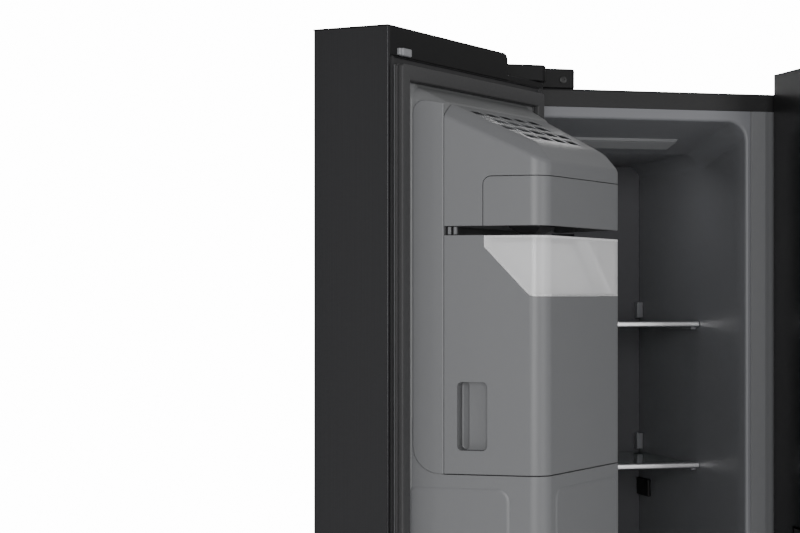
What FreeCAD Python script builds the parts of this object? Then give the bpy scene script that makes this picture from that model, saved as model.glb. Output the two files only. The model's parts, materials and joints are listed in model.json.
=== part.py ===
import FreeCAD, Part
import math
import os
import re
import Sketcher

# Side by side refrigerator: freezer on the left, fridge on the right, an ice maker in the freezer door.
# Millimetres.  +X to the right, +Y to the back, +Z up.  The origin is on the floor, in the middle of
# the cabinet's width, in the plane of the cabinet's front edge.  The freezer door stands open.

doc = FreeCAD.newDocument("refrigerator")
sheet = doc.addObject("Spreadsheet::Sheet", "sizes")

SIZES = [
    # Cabinet
    ("cabinet_width", 910, "outside width"),
    ("cabinet_depth", 600, "front edge to back panel"),
    ("cabinet_top", 1750, "top of the cabinet above the floor"),
    ("cabinet_bottom", 60, "underside of the cabinet above the floor"),
    ("sheet_metal", 1, "thickness of the steel wrap and back"),
    ("front_band", 23.5, "width of the steel return round the front"),
    ("liner_flange", 15, "width of the liner's edge inside the band"),
    ("liner_wall", 2, "thickness of the moulded liners"),
    ("liner_depth", 545, "depth of the compartments"),
    ("mouth_flare", 3, "how much the side walls open at the front"),
    ("flare_depth", 25, "depth over which they open"),
    ("ceiling_drop", 33, "fall of the ceiling behind the opening"),
    ("ceiling_run", 150, "depth over which it falls"),
    ("step_foam", 45, "insulation over the machine compartment"),
    ("machine_depth", 200, "depth of the machine compartment"),
    ("machine_height", 250, "height of the machine compartment"),
    ("freezer_mouth_inset", 36, "fridge door edge to the freezer opening"),
    ("fridge_mouth_inset", 31, "fridge door edge to the fridge opening"),
    ("mullion_flange", 8, "width of the liners' edges beside the mullion"),
    ("strip_gap", 0.5, "gap each side of the mullion strip"),
    # Doors
    ("freezer_door_width", 395, "width of the freezer door"),
    ("door_gap", 5, "gap between the doors"),
    ("door_thickness", 95, "thickness of the doors"),
    ("door_top", 1775, "top of the doors"),
    ("door_bottom", 62, "bottom of the doors"),
    ("gasket_gap", 10, "gap between door and cabinet"),
    ("gasket_inset", 15.5, "door edge to gasket"),
    ("gasket_width", 18, "width of the gasket"),
    ("seal_clearance", 0.3, "gasket to cabinet"),
    ("door_skin", 1, "thickness of the door's steel wrap"),
    ("edge_round", 2, "rounding of the doors' front edges"),
    ("top_cap", 33, "height of the top cap"),
    ("cap_lip", 2, "edge of the top cap that covers the steel"),
    ("bottom_cap", 18, "height of the bottom cap"),
    ("cap_wall", 3, "wall of the end caps"),
    ("cap_round", 25, "rounding of the raised part of the top cap"),
    ("notch_length", 100, "length of the hinge notch in the top cap"),
    ("notch_floor", 7, "top cap left under the notch"),
    ("pivot_side", 20, "hinge axis from the door's edge"),
    ("pivot_front", 39, "hinge axis in front of the door's inner face"),
    ("open_angle", 133, "opening angle of the doors"),
    ("dike_inset", 47, "door's free edge to the dike's foot"),
    ("dike_hinge_inset", 39, "door's hinge edge to the dike's foot"),
    ("dike_crest_inset", 55, "door's edges to the dike's crest"),
    ("dike_depth", 38, "height of the dike off the door"),
    ("dike_wall", 12, "thickness of the dike"),
    ("dike_drop", 61, "door top to the dike's foot"),
    ("dike_crest_drop", 81, "door top to the dike's crest"),
    ("dike_rise", 36, "door bottom to the dike's foot"),
    ("dike_crest_rise", 54, "door bottom to the dike's crest"),
    # Hinges
    ("pin_radius", 6, "hinge pins"),
    ("pin_clearance", 0.05, "play of a pin or shaft in its hole"),
    ("pin_length", 32, "hinge pin inside the door"),
    ("boss_radius", 12, "boss round a hinge pin"),
    ("hinge_plate", 4, "thickness of the hinge plates"),
    ("hinge_cover_height", 26, "height of the top hinge covers"),
    ("hinge_cover_length", 123, "width of the covers on the cabinet"),
    ("hinge_cover_depth", 90, "depth of the covers on the cabinet"),
    ("cover_head", 62, "width of the covers over the doors"),
    ("cover_reach", 31, "how far they pass the hinge axis"),
    ("cover_wall", 2.5, "wall of the covers"),
    # Handles
    ("grip_bottom", 640, "bottom of the grip recess"),
    ("grip_height", 540, "height of the grip recess"),
    ("grip_opening", 24, "width of the recess at the front"),
    ("grip_hook", 14, "how far it reaches behind the front"),
    ("grip_deep", 34, "depth of the recess"),
    ("grip_lip", 6, "thickness of the lip"),
    ("grip_wall", 3, "wall of the recess"),
    # Ice maker and bucket on the freezer door
    ("module_depth", 150, "how far the ice unit stands off the door"),
    ("module_side", 78, "door's free edge to the ice unit's front corner"),
    ("module_far", 284, "door's free edge to its other front corner"),
    ("module_wall", 3, "wall of its mouldings"),
    ("module_round", 20, "rounding of its front corner"),
    ("housing_bottom", 960, "bottom of the lower housing"),
    ("bucket_bottom", 1287, "bottom of the ice bucket"),
    ("bucket_top", 1548, "top of the ice bucket"),
    ("cover_bottom", 1558, "bottom of the ice maker's cover"),
    ("cover_crest", 1693, "top of the cover beside the door"),
    ("cover_front", 1650, "top of the cover at its front edge"),
    ("cover_chamfer", 19, "chamfer at its front edge"),
    ("flap_height", 54, "height of the flap in the cover"),
    ("flap_start", 82, "door to the flap's back edge"),
    ("part_gap", 0.5, "gap between mouldings that part or move"),
    ("window_height", 67, "height of the clear window"),
    ("window_start", 83, "door to the window's back edge"),
    ("window_drop", 13, "straight part of its back edge"),
    ("window_slant_end", 133, "door to the foot of its slanted edge"),
    ("grip_pocket_start", 53, "door to the bucket's finger pocket"),
    ("grip_pocket_width", 34, "width of the finger pocket"),
    ("grip_pocket_bottom", 1313, "bottom of the finger pocket"),
    ("grip_pocket_height", 75, "height of the finger pocket"),
    ("grip_pocket_deep", 16, "depth of the finger pocket"),
    ("auger_height", 58, "auger's axis above the bucket's floor"),
    ("auger_radius", 46, "radius of the auger's blades"),
    ("auger_shaft", 5, "radius of the auger's shaft"),
    ("tray_length", 180, "length of the ice tray"),
    ("tray_width", 64, "width of the ice tray"),
    ("tray_height", 26, "height of the ice tray"),
    ("tray_axis_height", 56, "tray's axis above the cover's lower edge"),
    ("tray_axis_depth", 90, "tray's axis from the door"),
    ("tray_start", 100, "door's free edge to the ice tray"),
    ("tray_pin", 4, "radius of the ice tray's pins"),
    ("cup_pitch", 34, "distance between the ice tray's cups"),
    ("auger_side", 197.5, "door's free edge to the auger's axis"),
    ("chute_start", 165, "door's free edge to the ice chute"),
    ("chute_width", 65, "width of the ice chute"),
    ("chute_near", 86, "door to the near side of the chute's mouth"),
    ("chute_far", 142, "door to its far side"),
    ("vent_length", 26, "length of a vent in the cover"),
    ("vent_width", 8, "width of a vent"),
    ("vent_pitch", 36, "distance between vents in a row"),
    ("vent_row", 18, "distance between rows of vents"),
    ("bin_depth", 115, "depth of the door bins"),
    ("bin_height", 110, "height of the door bins"),
    ("first_bin", 150, "height of the lowest door bin"),
    ("freezer_bin_pitch", 270, "distance between the freezer door's bins"),
    ("fridge_bin_pitch", 312.5, "distance between the fridge door's bins"),
    # Dispenser
    ("dispenser_start", 105, "door's free edge to the dispenser"),
    ("dispenser_width", 184, "width of the dispenser"),
    ("dispenser_bottom", 830, "bottom of the dispenser"),
    ("dispenser_height", 380, "height of the dispenser"),
    ("dispenser_frame", 12, "frame round the dispenser's recess"),
    ("control_height", 66, "height of the control field"),
    ("recess_depth", 62, "depth of the dispenser's recess"),
    ("lever_width", 64, "width of the dispenser lever"),
    ("lever_height", 120, "length of the dispenser lever"),
    ("lever_pin", 3, "radius of the lever's pin"),
    ("drip_height", 14, "height of the drip tray"),
    # Interior
    ("glass_thickness", 4, "shelf glass"),
    ("trim_height", 7.5, "height of the shelves' front trim"),
    ("trim_depth", 10, "depth of the shelves' front trim"),
    ("shelf_front", 150, "cabinet front to the shelves"),
    ("panel_front", 385, "cabinet front to the back panel's face"),
    ("panel_thickness", 4, "thickness of the back panels"),
    ("fridge_panel_front", 505, "cabinet front to the fridge's back panel"),
    ("first_shelf", 1442, "height of the top shelf"),
    ("shelf_pitch", 198, "distance between shelves"),
    ("shelf_gap", 1, "gap between a shelf and the side walls"),
    ("ledge_width", 8, "width of the supports under shelves"),
    ("ledge_height", 6, "height of the supports under shelves"),
    ("drawer_inset", 30, "freezer wall to the drawers on the hinge side"),
    ("drawer_wall", 2.5, "wall of the drawers"),
    ("lower_drawer_height", 225, "height of the lower freezer drawer"),
    ("drawer_gap", 4, "clearance beside and behind the drawers"),
    ("drawer_play", 0.3, "clearance between a drawer and its runners"),
    ("runner_width", 14, "how far a runner reaches under a drawer"),
    ("lamp_inset", 60, "side walls to the lamp cover"),
    ("lamp_thickness", 5, "thickness of the lamp cover"),
    ("air_slot_height", 6, "height of the slots in the back panels"),
    ("air_slot_pitch", 14, "distance between them"),
    ("air_slot_half", 55, "half the length of the upper slots"),
    ("return_slot_half", 90, "half the length of the lower slots"),
    ("evaporator_inset", 20, "side wall to the evaporator's fins"),
    ("evaporator_front", 40, "back panel to the fins"),
    ("evaporator_depth", 70, "depth of the fins"),
    ("evaporator_rise", 120, "step to the foot of the fins"),
    ("evaporator_height", 260, "height of the fins"),
    ("fin_pitch", 12, "distance between fins"),
    ("tube_radius", 4, "evaporator tubes"),
    ("tube_pitch", 44, "distance between tubes up the evaporator"),
    # Base and machinery
    ("base_bottom", 28, "underside of the base frame"),
    ("base_rail", 28, "width of the base rails"),
    ("roller_radius", 19, "rollers"),
    ("roller_width", 24, "width of a roller"),
    ("axle_radius", 4, "roller axles"),
    ("foot_radius", 17, "levelling feet"),
    ("foot_height", 7, "height of a foot's pad"),
    ("foot_side", 88, "cabinet side to a levelling foot"),
    ("foot_front", 52, "cabinet front to a levelling foot"),
    ("stem_radius", 6, "levelling feet's stems"),
    ("rail_inset", 5, "cabinet side to a base rail"),
    ("rail_front", 6, "cabinet front to the base frame"),
    ("rail_back", 8, "back panel to the base frame"),
    ("roller_front", 110, "cabinet front to the front rollers"),
    ("roller_back", 60, "back panel to the rear rollers"),
    ("kick_thickness", 4, "thickness of the kick grille"),
    ("kick_pitch", 40, "distance between its slots"),
    ("kick_slot", 28, "length of a slot"),
    ("compressor_radius", 78, "compressor shell"),
    ("compressor_height", 150, "height of the compressor shell"),
    ("fan_radius", 62, "freezer fan"),
    ("cooling_fan_radius", 66, "condenser fan"),
    ("fan_hub", 16, "radius of the fans' hubs"),
    ("fan_axle", 3, "radius of the fans' shafts"),
    ("fan_width", 22, "width of the fans"),
    ("motor_radius", 22, "fan motors"),
    ("motor_length", 24, "length of the fan motors"),
    ("compressor_side", 230, "cabinet's middle to the compressor"),
    ("compressor_back", 105, "back panel to the compressor"),
    ("condenser_inset", 25, "cabinet side to the condenser"),
    ("condenser_length", 140, "length of the condenser's tubes"),
    ("condenser_pitch", 20, "distance between tubes up the condenser"),
    ("condenser_row", 22, "distance between its rows of tubes"),
    ("cooling_fan_side", 240, "cabinet side to the condenser fan"),
    ("cooling_fan_back", 120, "back panel to the condenser fan"),
    ("cooling_fan_rise", 130, "base pan to the condenser fan's axis"),
    ("louvre_length", 50, "length of a slot in the machine cover"),
    ("louvre_pitch", 70, "distance between those slots"),
    ("louvre_row", 22, "distance between their rows"),
    ("valve_inset", 60, "cabinet side to the water valve"),
    ("gland_inset", 95, "cabinet side to the cord gland"),
    ("gland_radius", 11, "cord gland"),
    ("gland_length", 12, "how far it stands out"),
    ("inlet_radius", 13.2, "water inlet's threaded spigot"),
    ("inlet_length", 14, "length of that spigot"),
]

for row, (alias, value, meaning) in enumerate(SIZES, 1):
    sheet.set(f"A{row}", alias)
    sheet.set(f"B{row}", str(value))
    sheet.set(f"C{row}", meaning)
    sheet.setAlias(f"B{row}", alias)
doc.recompute()

ALIASES = {alias for alias, value, meaning in SIZES}


def size(alias):
    """The number that the sheet holds for a size."""
    return float(sheet.get(alias))


def bound(text):
    """An expression in which every named size reads the sheet."""
    words = r"[a-z][a-z0-9_]*"
    return re.sub(words, lambda word: "sizes." + word[0] if word[0] in ALIASES else word[0], str(text))


def box(name, x, y, z):
    """A block between two corners, each coordinate a pair of expressions."""
    block = doc.addObject("Part::Box", name)
    for side, letter, (low, high) in (("Length", "x", x), ("Width", "y", y), ("Height", "z", z)):
        block.setExpression(side, bound(f"({high}) - ({low})"))
        block.setExpression(f"Placement.Base.{letter}", bound(low))
    return block


def rod(name, axis, radius, start, length):
    """A cylinder that starts at a point and runs along an axis."""
    cylinder = doc.addObject("Part::Cylinder", name)
    turns = {"x": (0, 1, 0, 90), "y": (1, 0, 0, -90), "z": (0, 0, 1, 0)}
    ax, ay, az, angle = turns[axis]
    cylinder.Placement = FreeCAD.Placement(
        FreeCAD.Vector(0, 0, 0), FreeCAD.Rotation(FreeCAD.Vector(ax, ay, az), angle)
    )
    cylinder.setExpression("Radius", bound(radius))
    cylinder.setExpression("Height", bound(length))
    for letter, place in zip("xyz", start):
        cylinder.setExpression(f"Placement.Base.{letter}", bound(place))
    return cylinder


def frustum(name, y, x_near, z_near, x_far, z_far):
    """A block whose far face is smaller or shifted, between two depths."""
    wedge = doc.addObject("Part::Wedge", name)
    corners = {
        "Ymin": y[0], "Ymax": y[1],
        "Xmin": x_near[0], "Xmax": x_near[1], "Zmin": z_near[0], "Zmax": z_near[1],
        "X2min": x_far[0], "X2max": x_far[1], "Z2min": z_far[0], "Z2max": z_far[1],
    }
    for side, place in corners.items():
        wedge.setExpression(side, bound(place))
    return wedge


def prism(name, plane, points, low, high):
    """A padded sketch: a polygon of expression pairs on a plane, from one height to another."""
    body = doc.addObject("PartDesign::Body", name)
    sketch = body.newObject("Sketcher::SketchObject", name + "_outline")
    origin = next(feature for feature in body.Origin.OriginFeatures if feature.Role == plane)
    sketch.AttachmentSupport = [(origin, "")]
    sketch.MapMode = "FlatFace"
    count = len(points)
    turn = 2 * math.pi / count
    start = [FreeCAD.Vector(math.cos(k * turn), math.sin(k * turn), 0) for k in range(count)]
    for k in range(count):
        sketch.addGeometry(Part.LineSegment(start[k], start[(k + 1) % count]), False)
    for k in range(count):
        sketch.addConstraint(Sketcher.Constraint("Coincident", k, 2, (k + 1) % count, 1))
    for k, pair in enumerate(points):
        for kind, place, value in zip(("DistanceX", "DistanceY"), pair, start[k]):
            index = sketch.addConstraint(Sketcher.Constraint(kind, -1, 1, k, 1, value))
            sketch.setExpression(f"Constraints[{index}]", bound(place))
    sketch.setExpression("AttachmentOffset.Base.z", bound(low))
    pad = body.newObject("PartDesign::Pad", name + "_pad")
    pad.Profile = sketch
    pad.setExpression("Length", bound(f"({high}) - ({low})"))
    body.Tip = pad
    return body


def fuse(name, pieces):
    """Several pieces joined into one."""
    joined = doc.addObject("Part::MultiFuse", name)
    joined.Shapes = pieces
    return joined


def group(name, pieces):
    """Several separate pieces kept together."""
    compound = doc.addObject("Part::Compound", name)
    compound.Links = pieces
    return compound


def cut(name, base, tools):
    """A piece with others taken away from it."""
    tool = tools[0] if len(tools) == 1 else fuse(name + "_cutters", tools)
    result = doc.addObject("Part::Cut", name)
    result.Base = base
    result.Tool = tool
    return result


def common(name, one, other):
    """What two pieces share."""
    shared = doc.addObject("Part::Common", name)
    shared.Base = one
    shared.Tool = other
    return shared


def rounded(name, base, alias, wanted):
    """A piece with the edges that a test picks rounded to a named radius."""
    doc.recompute()
    fillet = doc.addObject("Part::Fillet", name)
    fillet.Base = base
    radius = size(alias)
    picked = [k for k, edge in enumerate(base.Shape.Edges, 1) if wanted(edge)]
    fillet.Edges = [(k, radius, radius) for k in picked]
    return fillet


def upright(edge):
    """Whether an edge runs straight up."""
    return abs(edge.tangentAt(edge.FirstParameter).z) > 0.999


NODES = {}


def node(piece, label):
    """Names a finished sub-part."""
    piece.Label = label
    NODES[label] = piece
    return piece


# Places that many pieces share.
LEFT = "(-cabinet_width/2)"
RIGHT = "(cabinet_width/2)"
BACK = "cabinet_depth"
INNER = "(-gasket_gap)"
FRONT = "(-gasket_gap - door_thickness)"
FREEZER_EDGE = "(-cabinet_width/2 + freezer_door_width)"
FRIDGE_EDGE = "(-cabinet_width/2 + freezer_door_width + door_gap)"
FREEZER_LEFT = "(-cabinet_width/2 + front_band + liner_flange)"
FREEZER_RIGHT = f"({FRIDGE_EDGE} - freezer_mouth_inset)"
FRIDGE_LEFT = f"({FRIDGE_EDGE} + fridge_mouth_inset)"
FRIDGE_RIGHT = "(cabinet_width/2 - front_band - liner_flange)"
MOUTH_TOP = "(cabinet_top - front_band - liner_flange)"
MOUTH_BOTTOM = "(cabinet_bottom + front_band + liner_flange)"
CEILING = f"({MOUTH_TOP} - ceiling_drop)"
MACHINE_FRONT = "(cabinet_depth - machine_depth)"
MACHINE_TOP = "(cabinet_bottom + machine_height)"
STEP_FRONT = f"({MACHINE_FRONT} - step_foam)"
STEP_TOP = f"({MACHINE_TOP} + step_foam)"

# Cabinet: a steel wrap with a return round its front, two moulded liners, foam between them, a steel back.
wrap = box("wrap_outside", (LEFT, RIGHT), (0, f"{BACK} - sheet_metal"), ("cabinet_bottom", "cabinet_top"))
wrap_hollow = box(
    "wrap_hollow",
    (f"{LEFT} + sheet_metal", f"{RIGHT} - sheet_metal"),
    ("sheet_metal", f"{BACK} + 1"),
    ("cabinet_bottom + sheet_metal", "cabinet_top - sheet_metal"),
)
wrap_mouth = box(
    "wrap_mouth",
    (f"{LEFT} + front_band", f"{RIGHT} - front_band"),
    (-1, "sheet_metal + 1"),
    ("cabinet_bottom + front_band", "cabinet_top - front_band"),
)
wrap_machine = box(
    "wrap_machine",
    (f"{LEFT} + sheet_metal", f"{RIGHT} - sheet_metal"),
    (MACHINE_FRONT, f"{BACK} + 1"),
    ("cabinet_bottom - 1", MACHINE_TOP),
)
node(cut("cabinet_wrap", wrap, [wrap_hollow, wrap_mouth, wrap_machine]), "cabinet_shell")
node(
    box("rear_sheet", (LEFT, RIGHT), (f"{BACK} - sheet_metal", BACK), (MACHINE_TOP, "cabinet_top")),
    "back_panel",
)


def side_profile(name, left, right, wall, front):
    """The side view of a compartment, stepped over the machine compartment, grown by a wall."""
    points = [
        (front, f"{MOUTH_BOTTOM} - {wall}"),
        (f"{STEP_FRONT} + {wall}", f"{MOUTH_BOTTOM} - {wall}"),
        (f"{STEP_FRONT} + {wall}", f"{STEP_TOP} - {wall}"),
        (f"liner_depth + {wall}", f"{STEP_TOP} - {wall}"),
        (f"liner_depth + {wall}", f"{CEILING} + {wall}"),
        ("ceiling_run", f"{CEILING} + {wall}"),
        ("0", f"{MOUTH_TOP} + {wall}"),
        (front, f"{MOUTH_TOP} + {wall}"),
    ]
    if front == "0":
        points.pop()
    return prism(name, "YZ_Plane", points, f"{left} - {wall}", f"{right} + {wall}")


def liner(name, left, right, flange_left, flange_right):
    """A moulded compartment with an edge at its mouth; returns the liner and its outside."""
    outside = side_profile(name + "_outside", left, right, "liner_wall", "0")
    flange = box(
        name + "_flange",
        (flange_left, flange_right),
        (0, "liner_wall"),
        ("cabinet_bottom + front_band", "cabinet_top - front_band"),
    )
    plan = [
        (left, "-1"), (right, "-1"), (right, "0"), (f"{right} - mouth_flare", "flare_depth"),
        (f"{right} - mouth_flare", "liner_depth"), (f"{left} + mouth_flare", "liner_depth"),
        (f"{left} + mouth_flare", "flare_depth"), (left, "0"),
    ]
    from_above = prism(name + "_plan", "XY_Plane", plan, f"{MOUTH_BOTTOM} - 1", f"{MOUTH_TOP} + 1")
    from_beside = side_profile(name + "_side", left, right, "0", "-1")
    cavity = common(name + "_cavity", from_above, from_beside)
    shell = cut(name + "_shell", fuse(name + "_blank", [outside, flange]), [cavity])
    return node(shell, name), outside


freezer_liner, freezer_block = liner(
    "freezer_liner", FREEZER_LEFT, FREEZER_RIGHT, f"{LEFT} + front_band", f"{FREEZER_RIGHT} + mullion_flange"
)
fridge_liner, fridge_block = liner(
    "fridge_liner", FRIDGE_LEFT, FRIDGE_RIGHT, f"{FRIDGE_LEFT} - mullion_flange", f"{RIGHT} - front_band"
)
node(
    box(
        "mullion_strip",
        (f"{FREEZER_RIGHT} + mullion_flange + strip_gap", f"{FRIDGE_LEFT} - mullion_flange - strip_gap"),
        (0, "liner_wall"),
        ("cabinet_bottom + front_band", "cabinet_top - front_band"),
    ),
    "mullion_cover",
)
foam_block = box(
    "foam_block",
    (f"{LEFT} + sheet_metal", f"{RIGHT} - sheet_metal"),
    ("liner_wall", f"{BACK} - sheet_metal"),
    ("cabinet_bottom + sheet_metal", "cabinet_top - sheet_metal"),
)
machine_space = box("machine_space", (LEFT, RIGHT), (MACHINE_FRONT, f"{BACK} + 1"), (0, MACHINE_TOP))
node(cut("foam", foam_block, [freezer_block, fridge_block, machine_space]), "cabinet_insulation")

# Inside: back panels, lamps, glass shelves with metal trims on moulded supports, and drawers.
SHELF_COUNT = 5
walls = {
    "freezer": (f"{FREEZER_LEFT} + mouth_flare", f"{FREEZER_RIGHT} - mouth_flare", "panel_front"),
    "fridge": (f"{FRIDGE_LEFT} + mouth_flare", f"{FRIDGE_RIGHT} - mouth_flare", "fridge_panel_front"),
}
supports = []
panes = []
trims = []
for cold, (low, high, panel_face) in walls.items():
    panel = box(
        cold + "_panel",
        (f"{low} + shelf_gap", f"{high} - shelf_gap"),
        (panel_face, f"{panel_face} + panel_thickness"),
        (STEP_TOP, f"{CEILING} - shelf_gap"),
    )
    slots = [
        box(
            f"{cold}_air_slot_{k}",
            (f"({low} + {high})/2 - air_slot_half", f"({low} + {high})/2 + air_slot_half"),
            (f"{panel_face} - 1", f"{panel_face} + panel_thickness + 1"),
            (f"first_shelf + 70 + {k}*air_slot_pitch",
             f"first_shelf + 70 + {k}*air_slot_pitch + air_slot_height"),
        )
        for k in range(6)
    ]
    slots += [
        box(
            f"{cold}_return_slot_{k}",
            (f"({low} + {high})/2 - return_slot_half", f"({low} + {high})/2 + return_slot_half"),
            (f"{panel_face} - 1", f"{panel_face} + panel_thickness + 1"),
            (f"{STEP_TOP} + 20 + {k}*air_slot_pitch",
             f"{STEP_TOP} + 20 + {k}*air_slot_pitch + air_slot_height"),
        )
        for k in range(4)
    ]
    node(cut(cold + "_panel_cut", panel, slots), cold + "_back_panel")
    for k in range(SHELF_COUNT):
        middle = f"first_shelf - {k}*shelf_pitch"
        panes.append(
            box(
                f"{cold}_pane_{k + 1}",
                (f"{low} + shelf_gap", f"{high} - shelf_gap"),
                ("shelf_front + trim_depth/2", f"{panel_face} - shelf_gap"),
                (f"{middle} - glass_thickness/2", f"{middle} + glass_thickness/2"),
            )
        )
        bar = box(
            f"{cold}_bar_{k + 1}",
            (f"{low} + shelf_gap", f"{high} - shelf_gap"),
            ("shelf_front", "shelf_front + trim_depth"),
            (f"{middle} - trim_height/2", f"{middle} + trim_height/2"),
        )
        channel = box(
            f"{cold}_channel_{k + 1}",
            (low, high),
            ("shelf_front + trim_depth/2", "shelf_front + trim_depth + 1"),
            (f"{middle} - glass_thickness/2", f"{middle} + glass_thickness/2"),
        )
        trims.append(cut(f"{cold}_trim_{k + 1}", bar, [channel]))
        for wall_end in ((low, f"{low} + ledge_width"), (f"{high} - ledge_width", high)):
            supports.append(
                box(
                    f"support_{len(supports) + 1}",
                    wall_end,
                    ("shelf_front + trim_depth + shelf_gap", panel_face),
                    (
                        f"{middle} - glass_thickness/2 - ledge_height",
                        f"{middle} - glass_thickness/2",
                    ),
                )
            )
node(group("panes", panes), "shelf_glass")
node(group("trims", trims), "shelf_trims")

LAST_SHELF = f"(first_shelf - {SHELF_COUNT - 1}*shelf_pitch)"
lamps = []
for cold, (low, high, panel_face) in walls.items():
    lamps.append(
        frustum(
            cold + "_lamp",
            ("ceiling_run/5", "ceiling_run*4/5"),
            (f"{low} + lamp_inset", f"{high} - lamp_inset"),
            (f"{MOUTH_TOP} - ceiling_drop/5 - lamp_thickness", f"{MOUTH_TOP} - ceiling_drop/5"),
            (f"{low} + lamp_inset", f"{high} - lamp_inset"),
            (f"{MOUTH_TOP} - ceiling_drop*4/5 - lamp_thickness", f"{MOUTH_TOP} - ceiling_drop*4/5"),
        )
    )
node(group("lamps", lamps), "lamp_covers")


def tray(name, x, y, z, wall, floor):
    """An open box with a wall and a floor."""
    outside = box(name + "_outside", x, y, z)
    inside = box(
        name + "_inside",
        (f"{x[0]} + {wall}", f"{x[1]} - {wall}"),
        (f"{y[0]} + {wall}", f"{y[1]} - {wall}"),
        (f"{z[0]} + {floor}", f"{z[1]} + 1"),
    )
    return cut(name, outside, [inside])


DRAWERS = [
    # label, compartment, hinge-side inset, bottom, top, back
    ("freezer_drawer_lower", "freezer", "drawer_inset", f"{MOUTH_BOTTOM} + ledge_height + 1",
     f"{MOUTH_BOTTOM} + lower_drawer_height", f"{STEP_FRONT} - drawer_gap"),
    ("freezer_drawer_upper", "freezer", "drawer_inset", f"{STEP_TOP} + ledge_height + 1",
     f"{LAST_SHELF} - 20", "panel_front - drawer_gap"),
    ("crisper_lower", "fridge", "drawer_gap", f"{MOUTH_BOTTOM} + ledge_height + 1",
     f"{MOUTH_BOTTOM} + lower_drawer_height", f"{STEP_FRONT} - drawer_gap"),
    ("crisper_upper", "fridge", "drawer_gap", f"{STEP_TOP} + ledge_height + 1",
     f"{LAST_SHELF} - 20", "fridge_panel_front - drawer_gap"),
]
for label, cold, inset, bottom, top, back in DRAWERS:
    low, high, panel_face = walls[cold]
    low_side = f"{low} + {inset}"
    high_side = f"{high} - drawer_gap"
    node(tray(label + "_box", (low_side, high_side), ("shelf_front", back), (bottom, top),
              "drawer_wall", "drawer_wall"), label)
    for wall_end in ((low, f"{low_side} + runner_width"), (f"{high_side} - runner_width", high)):
        supports.append(
            box(f"support_{len(supports) + 1}", wall_end, ("shelf_front + 10", back),
                (f"{bottom} - drawer_play - ledge_height", f"{bottom} - drawer_play"))
        )
node(group("ledges", supports), "shelf_supports")

# Evaporator and its fan, behind the freezer's back panel.
LOW, HIGH, PANEL_FACE = walls["freezer"]
FREEZER_MIDDLE = f"(({LOW} + {HIGH})/2)"
FIN_COUNT = 24
FINS = f"({LOW} + evaporator_inset)"
FINS_FRONT = f"({PANEL_FACE} + evaporator_front)"
FINS_LOW = f"({STEP_TOP} + evaporator_rise)"
TUBES = f"({FINS} - 10)"
TUBE_LENGTH = f"({FIN_COUNT - 1}*fin_pitch + 21)"
fins = [
    box(
        f"fin_{k + 1}",
        (f"{FINS} + {k}*fin_pitch", f"{FINS} + {k}*fin_pitch + 1"),
        (FINS_FRONT, f"{FINS_FRONT} + evaporator_depth"),
        (FINS_LOW, f"{FINS_LOW} + evaporator_height"),
    )
    for k in range(FIN_COUNT)
]
tubes = [
    rod(
        f"tube_{row}_{k}", "x", "tube_radius",
        (TUBES, f"{FINS_FRONT} + evaporator_depth*(1 + 2*{row})/4", f"{FINS_LOW} + 20 + {k}*tube_pitch"),
        TUBE_LENGTH,
    )
    for row in range(2)
    for k in range(6)
]
brackets = [
    box(
        f"evaporator_bracket_{k}",
        (f"{TUBES} + {k}*({TUBE_LENGTH} - 3)", f"{TUBES} + {k}*({TUBE_LENGTH} - 3) + 3"),
        (FINS_FRONT, "liner_depth"),
        (f"{FINS_LOW} - 20", f"{FINS_LOW} + evaporator_height + 20"),
    )
    for k in range(2)
]
node(fuse("evaporator_core", fins + tubes + brackets), "evaporator")


def fan(name, x, y, z, radius, count, pitch):
    """A fan on an axis along Y: a hub with pitched blades and a bore for its shaft."""
    hub = rod(name + "_hub", "y", "fan_hub", (x, y, z), "fan_width")
    blades = []
    for k in range(count):
        blade = box(f"{name}_blade_{k + 1}", ("fan_hub - 3", radius), (-1, 1), ("-fan_width/2", "fan_width/2"))
        swept = doc.addObject("Part::Compound", f"{name}_pitched_{k + 1}")
        swept.Links = [blade]
        tilt = FreeCAD.Rotation(FreeCAD.Vector(1, 0, 0), pitch)
        around = FreeCAD.Rotation(FreeCAD.Vector(0, 1, 0), 360 * k / count)
        swept.Placement = FreeCAD.Placement(FreeCAD.Vector(0, 0, 0), around.multiply(tilt))
        swept.setExpression("Placement.Base.x", bound(x))
        swept.setExpression("Placement.Base.y", bound(f"{y} + fan_width/2"))
        swept.setExpression("Placement.Base.z", bound(z))
        blades.append(swept)
    bore = rod(name + "_bore", "y", "fan_axle + pin_clearance", (x, f"{y} + 0.7", z), "fan_width + 1")
    return cut(name + "_wheel", fuse(name + "_blank", [hub] + blades), [bore])


def motor(name, x, y, z, back):
    """A fan motor: a case with a shaft to the front, on a foot that reaches what is behind it."""
    case = rod(name + "_case", "y", "motor_radius", (x, f"{y} + fan_width + 0.3", z), "motor_length")
    shaft = rod(name + "_shaft", "y", "fan_axle", (x, f"{y} + 1", z), "fan_width + 2")
    foot = box(name + "_foot", (f"{x} - 12", f"{x} + 12"), (f"{y} + fan_width + motor_length - 2", back),
               (f"{z} - 12", f"{z} + 12"))
    return fuse(name + "_whole", [case, shaft, foot])


FREEZER_FAN = (FREEZER_MIDDLE, f"{PANEL_FACE} + 30", "first_shelf + 105")
node(fan("air", *FREEZER_FAN, "fan_radius", 5, 35), "freezer_fan")
air_motor = motor("air_motor", *FREEZER_FAN, "liner_depth")

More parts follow.
